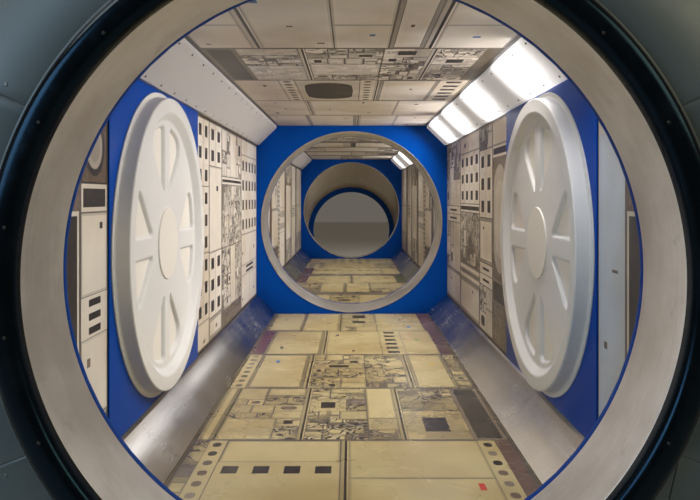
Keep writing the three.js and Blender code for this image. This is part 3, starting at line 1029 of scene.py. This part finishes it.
def board_piece(name, node, axis_across, facing, ground, seed, bays, material, slot_name):
    """A board whose face that looks into the cabin is parted into its print's fields."""
    bm = solid_copy(node)
    sheet.update(
        bm=bm,
        ink=bm.loops.layers.float_color.new("print"),
        random=random.Random(seed),
        ground=ground,
        along=1,
        across=axis_across,
    )
    for face in bm.faces:
        ink(face, tuple(channel * 0.8 for channel in ground))
    field = max(bm.faces, key=lambda face: face.normal[3 - 1 - axis_across] * facing)
    low, high = (place + (axis_z if axis_across == 2 else 0.0) for place in SHOWN[axis_across])
    field = split(split(field, axis_across, low)[1], axis_across, high)[0]
    # Along the edges that meet the lamp panels and the kick plates the board gets a dark strip: painted shade
    # in the joints.
    edge = JOINT_SHADE_LINES[node.split("_")[1]]
    lower_joint_shade, field = split(field, axis_across, low + edge)
    field, upper_joint_shade = split(field, axis_across, high - edge)
    ink(lower_joint_shade, DARK_INK)
    ink(upper_joint_shade, DARK_INK)
    for length, columns in bays[:-1]:
        bay, field = split(field, 1, extent(field, 1)[0] + length)
        draw_bay(bay, columns)
    draw_bay(field, bays[-1][1])
    finish_piece(name, bm, material, slot_name, node)


def draw_bay(bay, columns):
    """Draws one bay of a print: a strong seam, then its fields side by side across the board."""
    line_round(bay, BAY_LINE)
    fields = split_shares(bay, sheet["across"], [share for share, motif in columns])
    for field, (share, motif) in zip(fields, columns):
        motif(field)


# A print's small detail: cabling and boxes where they are asked for, soft shading, and a worn film.
PRINT_BUMP = 0.0002
printed_laminate, net, given, film = film_group("printed laminate", Clutter="Float")
cables = net.noise(given["Vector"], 8.5, 2.5, 0.55)
wires = net.noise(given["Vector"], 15.0, 1.5, 0.5)
blots = net.noise(given["Vector"], 16.0, 4.0, 0.65)
where = net.noise(given["Vector"], 3.1, 1.0)
boxes = net.add(
    "TexVoronoi",
    {"Vector": given["Vector"], "Scale": 15.0, "Randomness": 0.75},
    distance="CHEBYCHEV",
)
box_tone = net.add("SeparateColor", {"Color": boxes.outputs["Color"]}).outputs["Red"]
box_color = net.scaled(given["Color"], net.remap(box_tone, 0.1, 0.5, 0.70, 1.06))
cable_off = net.calc("ABSOLUTE", net.calc("SUBTRACT", cables, 0.5))
strand = net.calc("FRACT", net.calc("MULTIPLY", cables, 22.0))
strand_off = net.calc("ABSOLUTE", net.calc("SUBTRACT", strand, 0.5))
harness = net.remap(cable_off, 0.026, 0.034, 1.0, 0.0)
cable = net.calc("MULTIPLY", net.remap(strand_off, 0.17, 0.25, 1.0, 0.0), harness)
wire_off = net.calc("ABSOLUTE", net.calc("SUBTRACT", wires, 0.5))
wire = net.remap(wire_off, 0.012, 0.022, 0.9, 0.0)
wire = net.calc("MULTIPLY", wire, net.remap(where, 0.42, 0.50))
blot = net.remap(blots, 0.60, 0.64, 0.0, 0.85)
box_edge = net.remap(boxes.outputs["Distance"], 0.37, 0.43, 0.0, 0.85)
box_edge = net.calc("MULTIPLY", box_edge, net.remap(where, 0.40, 0.52, 1.0, 0.25))
busy = net.mix(box_edge, box_color, (0.10, 0.082, 0.066))
busy = net.mix(net.calc("MULTIPLY", harness, 0.25), busy, (0.50, 0.46, 0.38))
busy = net.mix(blot, busy, (0.045, 0.036, 0.034))
busy = net.mix(net.calc("MAXIMUM", cable, wire), busy, (0.030, 0.024, 0.026))
grating = net.add(
    "TexChecker",
    {"Vector": given["Vector"], "Scale": 120.0, "Color1": given["Color"], "Color2": (0.030, 0.028, 0.028)},
)
shown = net.mix(net.calc("MINIMUM", given["Clutter"], 1.0), given["Color"], busy)
grated = net.calc("GREATER_THAN", given["Clutter"], 1.5)
shown = net.mix(grated, shown, grating.outputs["Color"])
slow = net.noise(given["Vector"], 2.6, 2.0)
soft = net.noise(given["Vector"], 11.0, 3.0, 0.6)
stain = net.remap(slow, 0.36, 0.60, 0.65, 0.0)
stained = net.add("VectorMath", {0: shown, 1: (0.74, 0.66, 0.54)}, operation="MULTIPLY").outputs[0]
shown = net.mix(stain, shown, stained)
wear = net.noise(given["Vector"], 5.0, 3.0, 0.5)
peel = net.noise(given["Vector"], 240.0, 1.0)
rough = net.calc("MULTIPLY_ADD", wear, 0.10, -0.05)
net.feed(film, {
    "Color": net.scaled(shown, net.calc("MULTIPLY_ADD", soft, 0.20, 0.90)),
    "Roughness": net.calc("ADD", rough, given["Gloss"], clamp=True),
    "Height": net.calc("MULTIPLY_ADD", peel, 0.5, slow),
})


def printed(name, gloss):
    """A laminate that shows its board's print under a film of a given gloss."""
    material, net, shader, place = new_material(name)
    fields = net.add("Attribute", {}, attribute_name="print").outputs
    given = {"Vector": place, "Color": fields["Color"], "Clutter": fields["Alpha"], "Gloss": gloss}
    lay_film(net, shader, printed_laminate, given, PRINT_BUMP)
    return material


printed_wall = printed("printed_wall", 0.40)
printed_floor = printed("printed_floor", 0.28)

WALL_GROUND = (0.62, 0.575, 0.510)
CEILING_GROUND = (0.73, 0.675, 0.605)
FLOOR_GROUND = (0.445, 0.372, 0.197)
BAY = 0.515
FIRST_BAY = 0.136

# Each bay: its length, then its fields from the left or from below, each a share of the width and a motif.
fore_floor_bays = [
    (FIRST_BAY, [(1, brown), (6, plain), (3, slots), (1, brown)]),
    (BAY, [(1, scatter), (1.2, spots), (8, band), (0.5, post), (9, covers), (1.2, spots), (1, brown)]),
    (BAY, [(1, pipes), (5, scatter), (0.4, post), (4, scatter), (2, scatter), (0.4, post), (4, scatter),
           (2, grate)]),
    (BAY, [(1, spots), (4, framed), (0.4, post), (4, scatter), (3, scatter), (0.4, post), (3, doors),
           (1, scatter)]),
    (BAY, [(1, brown), (5, framed), (0.4, post), (5, plain), (2, slots), (3, plain), (1, brown)]),
    (BAY, [(3, doors), (3, plain), (0.3, post), (3, scatter), (4, covers), (1, brown)]),
]
fore_ceiling_bays = [
    (FIRST_BAY, [(4, plain), (1, brown), (4, plain)]),
    (BAY, [(3, covers), (0.5, post), (4, plain), (3, covers), (2, doors), (0.5, post), (4, covers)]),
    (BAY, [(2, grate), (4, scatter), (0.4, post), (5, scatter), (3, scatter), (0.4, post), (3, scatter),
           (1, brown)]),
    (BAY, [(3, plain), (1, spots), (4.4, port), (1, spots), (0.3, post), (4, doors), (2, slots)]),
    (BAY, [(4, plain), (0.3, post), (7, plain), (4, plain)]),
    (BAY, [(3, covers), (4, doors), (0.3, post), (6, covers)]),
]
fore_left_bays = [
    (FIRST_BAY, [(5, dark), (2, brown), (1, dark)]),
    (0.156, [(1, scatter), (2, covers), (1, vents), (2, plain), (0.7, dark), (1.8, lens), (1.2, shaded)]),
    (0.889, [(1, plain)]),
    (0.212, [(1, plain), (8, slot_columns)]),
    (0.257, [(1, doors), (3, slot_columns), (4, covers), (2, slot_columns)]),
    (0.515, [(1, shaded), (4, scatter), (4, scatter), (0.5, dark), (3, scatter)]),
    (BAY, [(2, covers), (0.6, vents), (2, plain), (5, slot_columns), (1, plain)]),
]
fore_right_bays = [
    (FIRST_BAY, [(5, dark), (2, brown), (1, dark)]),
    (0.156, [(1, scatter), (10, cool_lit_cover), (1.4, slots), (1, plain)]),
    (0.889, [(1, plain)]),
    (0.257, [(1.6, shaded), (1, grate), (5, tank), (0.5, dark), (1, plain)]),
    (0.270, [(2, scatter), (1, drawers), (2, framed), (3, slot_columns), (1, scatter)]),
    (0.515, [(2, doors), (1, pipes), (3, scatter), (0.5, dark), (3, slot_columns), (1, plain)]),
    (BAY, [(2, doors), (3, scatter), (1, drawers), (4, scatter)]),
]
aft_wall_bays = [
    (0.34, [(2, scatter), (4, plain), (3, plain)]),
    (0.11, [(1, brown)]),
    (0.42, [(2, shaded), (3, doors), (4, scatter)]),
    (0.10, [(1, pipes)]),
    (0.40, [(3, plain), (2, slots), (4, plain)]),
    (0.13, [(1, shaded)]),
    (0.44, [(2, scatter), (5, plain), (2, scatter)]),
    (0.09, [(1, dark)]),
    (0.42, [(4, plain), (1, drawers), (4, plain)]),
    (0.15, [(1, shaded)]),
    (BAY, [(2, scatter), (3, plain), (4, plain)]),
]
aft_floor_bays = [
    (0.46, [(3, plain), (2, scatter), (4, plain)]),
    (0.12, [(1, shaded)]),
    (0.52, [(2, scatter), (4, doors), (3, scatter)]),
    (0.50, [(1, brown), (5, plain), (0.4, post), (5, plain), (1, brown)]),
    (0.13, [(1, shaded)]),
    (0.50, [(1, brown), (8, band), (2, plain)]),
    (0.46, [(2, slots), (5, plain), (2, scatter)]),
    (BAY, [(2, plain), (4, slots), (2, plain)]),
]
aft_ceiling_bays = [
    (0.30, [(1, plain), (2, scatter), (1, plain)]),
    (0.10, [(1, dark)]),
    (0.40, [(2, plain), (4, scatter), (2, plain)]),
    (0.14, [(1, brown)]),
    (0.42, [(3, plain), (1, post), (3, plain)]),
    (0.08, [(1, dark)]),
    (0.46, [(2, scatter), (5, plain), (2, scatter)]),
    (0.13, [(1, shaded)]),
    (0.44, [(4, plain), (4, scatter)]),
    (0.08, [(1, dark)]),
    (BAY, [(3, plain), (2, scatter), (3, plain)]),
]

BOARDS = [
    ("fore_floor", 0, 1, FLOOR_GROUND, 11, fore_floor_bays, printed_floor, "printed_floor"),
    ("fore_ceiling", 0, -1, CEILING_GROUND, 12, fore_ceiling_bays, printed_wall, "printed_wall"),
    ("fore_wall_left", 2, 1, WALL_GROUND, 13, fore_left_bays, printed_wall, "printed_wall"),
    ("fore_wall_right", 2, -1, WALL_GROUND, 14, fore_right_bays, printed_wall, "printed_wall"),
    ("aft_floor", 0, 1, FLOOR_GROUND, 21, aft_floor_bays, printed_floor, "printed_floor"),
    ("aft_ceiling", 0, -1, CEILING_GROUND, 22, aft_ceiling_bays, printed_wall, "printed_wall"),
    ("aft_wall_left", 2, 1, WALL_GROUND, 23, aft_wall_bays, printed_wall, "printed_wall"),
    ("aft_wall_right", 2, -1, WALL_GROUND, 24, aft_wall_bays, printed_wall, "printed_wall"),
]
for node, axis_across, facing, ground, seed, bays, material, slot_name in BOARDS:
    board_piece(f"{node}_board", node, axis_across, facing, ground, seed, bays, material, slot_name)


# Lamp panels: white sheet steel with fine perforation, one along each upper corner of a cabin, screwed down
# along both edges. Tubes behind the right-hand ones shine through in patches; the left-hand ones are off.
LAMP_PATCHES = {
    "fore": [(0.300, 2.6), (0.890, 4.3), (1.500, 5.2), (2.065, 5.2), (2.570, 5.0)],
    "aft": [(3.300, 3.9), (3.870, 3.9), (4.450, 3.9), (5.080, 3.9), (5.900, 3.9)],
}
LAMP_RAMP = (-0.32, 0.00, 0.08, 0.27)
LAMP_HALF = 0.190
LAMP_STRENGTH = 2.8
PERFORATION = 0.0055
LAMP_SCREW_PITCH = 0.145
LAMP_SCREW_ASIDE = 0.010
SCREW_RADIUS = 0.0035
LAMP_SCREW_HEIGHT = 0.0020
LAMP_DIM = 0.085
LAMP_SLOPE = (Vector((0.515, 0, 0.415)), Vector((0.418, 0, 0.510)))
FRONT_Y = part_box("entrance_face")[0].y


def lamp_sheet(name, drum=None):
    """White perforated sheet, which glows in soft-edged patches at some places along the cabin."""
    material, net, shader, place = new_material(name)
    axes = net.add("SeparateXYZ", {"Vector": place}).outputs
    along = axes["Y"]
    aside = net.calc("ABSOLUTE", axes["X"])
    up_slope = net.calc("SUBTRACT", axes["Z"], aside)
    holes = 1.0
    for pitch_share in (0.0, 0.5):
        rows_along = net.calc("MULTIPLY_ADD", along, 1 / PERFORATION, pitch_share)
        rows_across = net.calc("MULTIPLY_ADD", up_slope, 0.7071 / PERFORATION, pitch_share)
        off_along = net.calc("SUBTRACT", net.calc("FRACT", rows_along), 0.5)
        off_across = net.calc("SUBTRACT", net.calc("FRACT", rows_across), 0.5)
        square = net.calc("MULTIPLY", off_across, off_across)
        off = net.calc("SQRT", net.calc("MULTIPLY_ADD", off_along, off_along, square))
        holes = net.calc("MINIMUM", holes, off)
    hole = net.remap(holes, 0.20, 0.28, 1.0, 0.0)
    slow = net.noise(place, 4.0, 2.0)
    sheet_color = net.mix(slow, (0.60, 0.575, 0.575), (0.68, 0.66, 0.66))
    color = net.mix(net.calc("MULTIPLY", hole, 0.85), sheet_color, (0.15, 0.145, 0.15))
    net.feed(shader, {"Base Color": color, "Roughness": net.remap(slow, 0.2, 0.8, 0.40, 0.50)})
    net.bump(shader, net.calc("SUBTRACT", 1.0, hole), 0.0006, 0.6)
    if drum:
        starts, full, fades, ends = LAMP_RAMP
        glow = 0.0
        for patch, power in LAMP_PATCHES[drum]:
            past = net.calc("SUBTRACT", along, patch + FRONT_Y)
            rise = net.remap(past, starts, full)
            fall = net.remap(past, fades, ends, 1.0, 0.0)
            glow = net.calc("MAXIMUM", glow, net.calc("MINIMUM", rise, fall))
        glow = net.calc("POWER", glow, 2.0)
        glow = net.calc("MULTIPLY", glow, net.remap(aside, 0.470, 0.516, 1.0, 0.45))
        glow = net.calc("ADD", glow, LAMP_DIM)
        lamp_color = net.mix(glow, (0.0, 0.0, 0.0), (1.0, 0.965, 0.94))
        net.feed(shader, {"Emission Color": lamp_color, "Emission Strength": LAMP_STRENGTH})
    return material


def screw_row(bm, node, pitch, place_x, place_z, outward, height):
    """A row of screws along a piece, at one place across it."""
    low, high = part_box(node)
    steps = round((high.y - low.y) / pitch)
    for step in range(steps):
        place_y = low.y + (high.y - low.y) * (step + 0.5) / steps
        add_stud(bm, (place_x, place_y, place_z), outward, SCREW_RADIUS, height)


LAMP_MATERIALS = {
    "fore_lamp_panel_left": lamp_sheet("lamp_sheet"),
    "fore_lamp_panel_right": lamp_sheet("lamp_sheet_fore_lit", "fore"),
    "aft_lamp_panel_right": lamp_sheet("lamp_sheet_aft_lit", "aft"),
}
LAMP_MATERIALS["aft_lamp_panel_left"] = LAMP_MATERIALS["fore_lamp_panel_left"]
screw_dark = painted("screw_dark", (0.022, 0.021, 0.022), (0.08, 0.08, 0.08), 0.40, metallic=0.3)

lower, upper = LAMP_SLOPE
across = (upper - lower).normalized()
inward = Vector((-across.z, 0, across.x))
if inward.dot(lower) > 0:
    inward.negate()
for node, material in LAMP_MATERIALS.items():
    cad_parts[node].data.materials.clear()
    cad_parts[node].data.materials.append(material)
    sign = 1 if node.endswith("right") else -1
    outward = (sign * inward.x, 0, inward.z)
    screws = bmesh.new()
    for edge_point, offset in ((lower, LAMP_SCREW_ASIDE), (upper, -LAMP_SCREW_ASIDE)):
        edge_place = edge_point + across * offset
        place_x, place_z = sign * edge_place.x, axis_z + edge_place.z
        screw_row(screws, node, LAMP_SCREW_PITCH, place_x, place_z, outward, LAMP_SCREW_HEIGHT)
    finish_piece(f"{node}_screws", screws, screw_dark, "aluminium")


# Kick plates: aluminium sheet folded along each lower corner and brushed along its length, with a narrow
# lip on the wall. Its bend lies a little further in than the solid's, so its slope is a little steeper.
KICK_SCREW_PITCH = 0.20
KICK_SCREW_UP = 0.007
KICK_SCREW_HEIGHT = 0.0015
KICK_FACE = 0.526
KICK_LIP_FROM = -0.433
KICK_BEND = (0.5170, 0.6766)
KICK_EDGE = 0.0006
KICK_BRUSHING = (130.0, 5.0, 130.0)

kick_metal = metal("kick_metal", (0.62, 0.615, 0.61), (0.74, 0.735, 0.73), 0.235, KICK_BRUSHING, bump=0.00003)
net = Net(kick_metal.node_tree)
along = net.add("CombineXYZ", {"Y": 1.0}).outputs[0]
net.feed(net.tree.nodes["Principled BSDF"], {"Anisotropic": 0.50, "Tangent": along})

for drum in BAYS:
    for side, sign in (("left", -1), ("right", 1)):
        node = f"{drum}_kick_plate_{side}"
        plate = solid_copy(node)
        bend = Vector((sign * KICK_FACE, axis_z + KICK_LIP_FROM))
        for vert in plate.verts:
            if (vert.co.xz - bend).length < 0.001:
                vert.co.xz = (sign * KICK_BEND[0], KICK_BEND[1])
        round_edges(plate, KICK_EDGE, sharper_than=30.0)
        finish_piece(f"{node}_sheet", plate, kick_metal, "aluminium", node)
        screws = bmesh.new()
        place_z = bend.y + KICK_SCREW_UP
        screw_row(screws, node, KICK_SCREW_PITCH, bend.x, place_z, (-sign, 0, 0), KICK_SCREW_HEIGHT)
        finish_piece(f"{node}_screws", screws, screw_dark, "aluminium")


# Hatch covers: round white mouldings on blue panels, with a raised rim, a sunk web with eight soft-edged
# pockets, and a flat hub. Each is one piece, screwed to its panel through the small flange.
COVER_RADIUS = 0.396
COVER_RIM = 0.355
COVER_WEB = 0.331
COVER_HUB = 0.098
COVER_FLANGE_HIGH = 0.004
COVER_WEB_HIGH = 0.018
COVER_HUB_HIGH = 0.0040
COVER_SOFT = 0.0045
COVER_DRAFT = 0.003
COVER_FOOT = 0.0003
HUB_STEPS = ((0.0004, 0.7), (0.0010, 0.3))
POCKET_OUT = 0.325
POCKET_IN = 0.121
POCKET_SPAN = math.radians(32.5)
POCKET_DEEP = 0.0100
POCKET_LIP = 0.0070
POCKET_COVE = 0.0030
POCKET_SLOPE = math.radians(60)
SPOKE_HALF = 0.021
NEAR_CORNER = 0.022
FAR_CORNER = 0.044
TIP_CORNER = 0.013
NEAR_TURN = 0.08
FAR_TURN = 0.20
COVER_ROUND = 224
PANEL_EDGE = 0.0012

white_cover = painted("white_cover", (0.64, 0.635, 0.625), (0.62, 0.61, 0.59), 0.33, scuffs=0.1, bump=0.0001)
net = Net(white_cover.node_tree)
shader = net.tree.nodes["Principled BSDF"]
cream = net.add("Attribute", {}, attribute_name="cream").outputs["Fac"]
film_color = shader.inputs["Base Color"].links[0].from_socket
net.feed(shader, {"Base Color": net.mix(cream, film_color, (0.72, 0.685, 0.625))})
panel_paint = painted("panel_paint", (0.0002, 0.052, 0.330), (0.01, 0.06, 0.33), 0.34, 0.15,
                      bump=0.0001, level=0.12)


def rounded_corner(before, here, after, radius, steps=8):
    """The points of an arc that rounds off an outline's corner."""
    back = (before - here).normalized()
    on = (after - here).normalized()
    half = back.angle(on) / 2
    middle = here + (back + on).normalized() * radius / math.sin(half)
    start = here + back * radius / math.tan(half) - middle
    sweep = math.copysign(math.pi - 2 * half, start.y * back.x - start.x * back.y)
    return [middle + Matrix.Rotation(sweep * step / steps, 2) @ start for step in range(steps + 1)]


def pocket_outline():
    """A pocket's outline beside a spoke along X: around by the rim, back to the hub, and along the spoke."""
    def on_rim(angle):
        return Vector((math.cos(angle), math.sin(angle))) * POCKET_OUT

    near_angle = math.asin(SPOKE_HALF / POCKET_OUT)
    tip = Vector((math.sqrt(POCKET_IN**2 - SPOKE_HALF**2), SPOKE_HALF))
    near_rim, far_rim = on_rim(near_angle), on_rim(POCKET_SPAN)
    turn = POCKET_SPAN - near_angle - NEAR_TURN - FAR_TURN
    between = [on_rim(near_angle + NEAR_TURN + turn * step / 4) for step in range(5)]
    outline = rounded_corner(tip, near_rim, between[0], NEAR_CORNER)
    outline += between
    outline += rounded_corner(between[-1], far_rim, tip, FAR_CORNER)
    outline += rounded_corner(far_rim, tip, near_rim, TIP_CORNER)
    return outline


def sink(bm, face, steps=4):
    """Sinks a pocket's floor below the web: a rounded lip, a straight slope, and a smaller cove below."""
    moves = []
    for step in range(steps):
        start, end = (POCKET_SLOPE * (step + share) / steps for share in (0, 1))
        moves.append((math.sin(end) - math.sin(start), math.cos(start) - math.cos(end)))
    straight = POCKET_DEEP - (POCKET_LIP + POCKET_COVE) * (1 - math.cos(POCKET_SLOPE))
    lip = [(aside * POCKET_LIP, down * POCKET_LIP) for aside, down in moves]
    cove = [(aside * POCKET_COVE, down * POCKET_COVE) for aside, down in reversed(moves)]
    for aside, down in lip + [(straight / math.tan(POCKET_SLOPE), straight)] + cove:
        bmesh.ops.inset_region(
            bm,
            faces=[face],
            thickness=aside,
            depth=-down,
            use_boundary=True,
            use_even_offset=True,
        )


def hatch_cover(node, sign):
    """A hatch cover that lies on its panel and faces across the cabin."""
    low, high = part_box(node)
    cover_high = high.x - low.x
    flange_radius = (high.y - low.y) / 2
    cover = bmesh.new()
    cream_part = cover.faces.layers.float.new("cream")
    flat = Matrix.Translation((0, -COVER_WEB_HIGH, 0)) @ Matrix.Rotation(math.pi / 2, 4, "X")
    loops = []
    for radius, segments in ((COVER_WEB, COVER_ROUND), (COVER_HUB, COVER_ROUND // 2)):
        circle = bmesh.ops.create_circle(cover, cap_ends=False, segments=segments, radius=radius, matrix=flat)
        loops.append(circle["verts"])
    outline = pocket_outline()
    for quarter in range(4):
        for flip in (1, -1):
            turn = Matrix.Rotation(quarter * math.pi / 2, 2)
            points = [turn @ Vector((point.x, flip * point.y)) for point in outline]
            verts = [cover.verts.new((point.x, -COVER_WEB_HIGH, point.y)) for point in points]
            for pair in zip(verts, verts[1:] + verts[:1]):
                cover.edges.new(pair)
            loops.append(verts)
    bmesh.ops.triangle_fill(cover, use_beauty=True, edges=cover.edges[:], normal=(0, -1, 0))
    sunk = [cover.faces.new(loop) for loop in loops[1:]]
    for face in cover.faces:
        face.normal_update()
        if face.normal.y > 0:
            face.normal_flip()
    for face in sunk[1:]:
        sink(cover, face)
    for face in sunk:
        face[cream_part] = 1.0
    hub = sunk[0]
    for inset, share in HUB_STEPS:
        bmesh.ops.inset_region(cover, faces=[hub], thickness=inset, depth=COVER_HUB_HIGH * share)
    profile = soft_profile(
        [
            (0.0, -COVER_WEB_HIGH),
            (COVER_WEB + COVER_SOFT, -COVER_WEB_HIGH),
            (COVER_RIM, -cover_high),
            (COVER_RADIUS - COVER_DRAFT, -cover_high),
            (COVER_RADIUS, -COVER_FLANGE_HIGH),
            (flange_radius, -COVER_FLANGE_HIGH),
            (flange_radius, 0.0),
            (0.0, 0.0),
        ],
        COVER_SOFT,
        steps=6,
    )
    around = [point for point in profile if point[0] > COVER_WEB + NEARLY and point[1] < -NEARLY]
    around = [(COVER_WEB, -COVER_WEB_HIGH)] + around + [(flange_radius, -COVER_FOOT)]
    turned(cover, around, 0, COVER_ROUND)
    bmesh.ops.remove_doubles(cover, verts=cover.verts, dist=2 * WELD)
    base = [edge for edge in cover.edges if edge.is_boundary]
    bmesh.ops.edgeloop_fill(cover, edges=base)
    bmesh.ops.recalc_face_normals(cover, faces=cover.faces)
    wall_x = high.x if sign > 0 else low.x
    place = Vector((wall_x, (low.y + high.y) / 2, (low.z + high.z) / 2))
    cover.transform(Matrix.Translation(place) @ Matrix.Rotation(-sign * math.pi / 2, 4, "Z"))
    piece = finish_piece(f"{node}_moulding", cover, white_cover, "white_cover", node, smooth_angle=40.0)
    weighted = piece.modifiers.new("weighted normals", "WEIGHTED_NORMAL")
    weighted.keep_sharp = True


for side, sign in (("left", -1), ("right", 1)):
    panel = solid_copy(f"hatch_panel_{side}")
    round_edges(panel, PANEL_EDGE)
    finish_piece(f"hatch_panel_{side}_board", panel, panel_paint, "blue_paint", f"hatch_panel_{side}")
    hatch_cover(f"hatch_cover_{side}", sign)


# Studio floor: a plain pale floor, which isn't part of the object.
floor_mesh = bpy.data.meshes.new("studio_floor")
floor_bm = bmesh.new()
bmesh.ops.create_grid(floor_bm, x_segments=1, y_segments=1, size=30.0)
floor_bm.to_mesh(floor_mesh)
floor_bm.free()
studio_floor = bpy.data.objects.new("studio_floor", floor_mesh)
bpy.context.scene.collection.objects.link(studio_floor)
floor_material, net, shader, place = new_material("studio_floor")
floor_color = net.mix(net.noise(place, 0.7, 2.0), (0.62, 0.585, 0.52), (0.70, 0.665, 0.60))
net.feed(shader, {"Base Color": floor_color, "Roughness": 0.7})
floor_mesh.materials.append(floor_material)

# Studio light: a dim even sky, a large key high on the left that grazes the front, a cool window light from
# the front left that reaches in through the entrance, and a warm fill from the front right.
world = bpy.data.worlds.new("studio")
world.use_nodes = True
world.node_tree.nodes["Background"].inputs["Color"].default_value = (1.0, 0.91, 0.77, 1.0)
world.node_tree.nodes["Background"].inputs["Strength"].default_value = 0.13
bpy.context.scene.world = world

for name, place, target, size, power, color in (
    ("key_light", (-3.2, -4.6, 4.8), (-0.5, -3.5, 1.4), 2.0, 85.0, (1.0, 0.94, 0.82)),
    ("window_light", (-2.8, -6.1, 2.15), (0.2, -3.2, 1.2), 1.5, 52.0, (0.58, 0.80, 1.0)),
    ("fill_light", (3.1, -5.9, 2.9), (0.5, -3.5, 1.4), 1.6, 34.0, (1.0, 0.93, 0.62)),
    ("back_light", (5.5, 7.5, 5.5), (0, 1.5, 0.9), 5.0, 300.0, (1.0, 0.97, 0.92)),
):
    light = bpy.data.objects.new(name, bpy.data.lights.new(name, "AREA"))
    light.data.size = size
    light.data.energy = power
    light.data.color = color
    light.location = place
    light.rotation_euler = (Vector(target) - Vector(place)).to_track_quat("-Z", "Y").to_euler()
    bpy.context.scene.collection.objects.link(light)

# Cabin light: an area light under each lit patch, facing down across its cabin, which itself isn't seen. The
# picture is shown without a film curve, so that the lit patches clip to white and the blues stay deep.
LAMP_WIDTH = 0.12
LAMP_ASIDE = 0.437
LAMP_UP = 0.481
LAMP_SPREAD = math.radians(150)
for drum, patches in LAMP_PATCHES.items():
    for index, (patch, power) in enumerate(patches):
        name = f"{drum}_lamp_{index}"
        lamp = bpy.data.objects.new(name, bpy.data.lights.new(name, "AREA"))
        lamp.data.shape = "RECTANGLE"
        lamp.data.size = LAMP_WIDTH
        lamp.data.size_y = 2 * LAMP_HALF
        lamp.data.energy = power
        lamp.data.spread = LAMP_SPREAD
        lamp.data.color = (1.0, 0.95, 0.90)
        lamp.location = (LAMP_ASIDE, patch + FRONT_Y, axis_z + LAMP_UP)
        lamp.rotation_euler = (0, math.pi / 4, 0)
        lamp.visible_camera = False
        lamp.visible_glossy = False
        bpy.context.scene.collection.objects.link(lamp)
bpy.context.scene.view_settings.view_transform = "Standard"
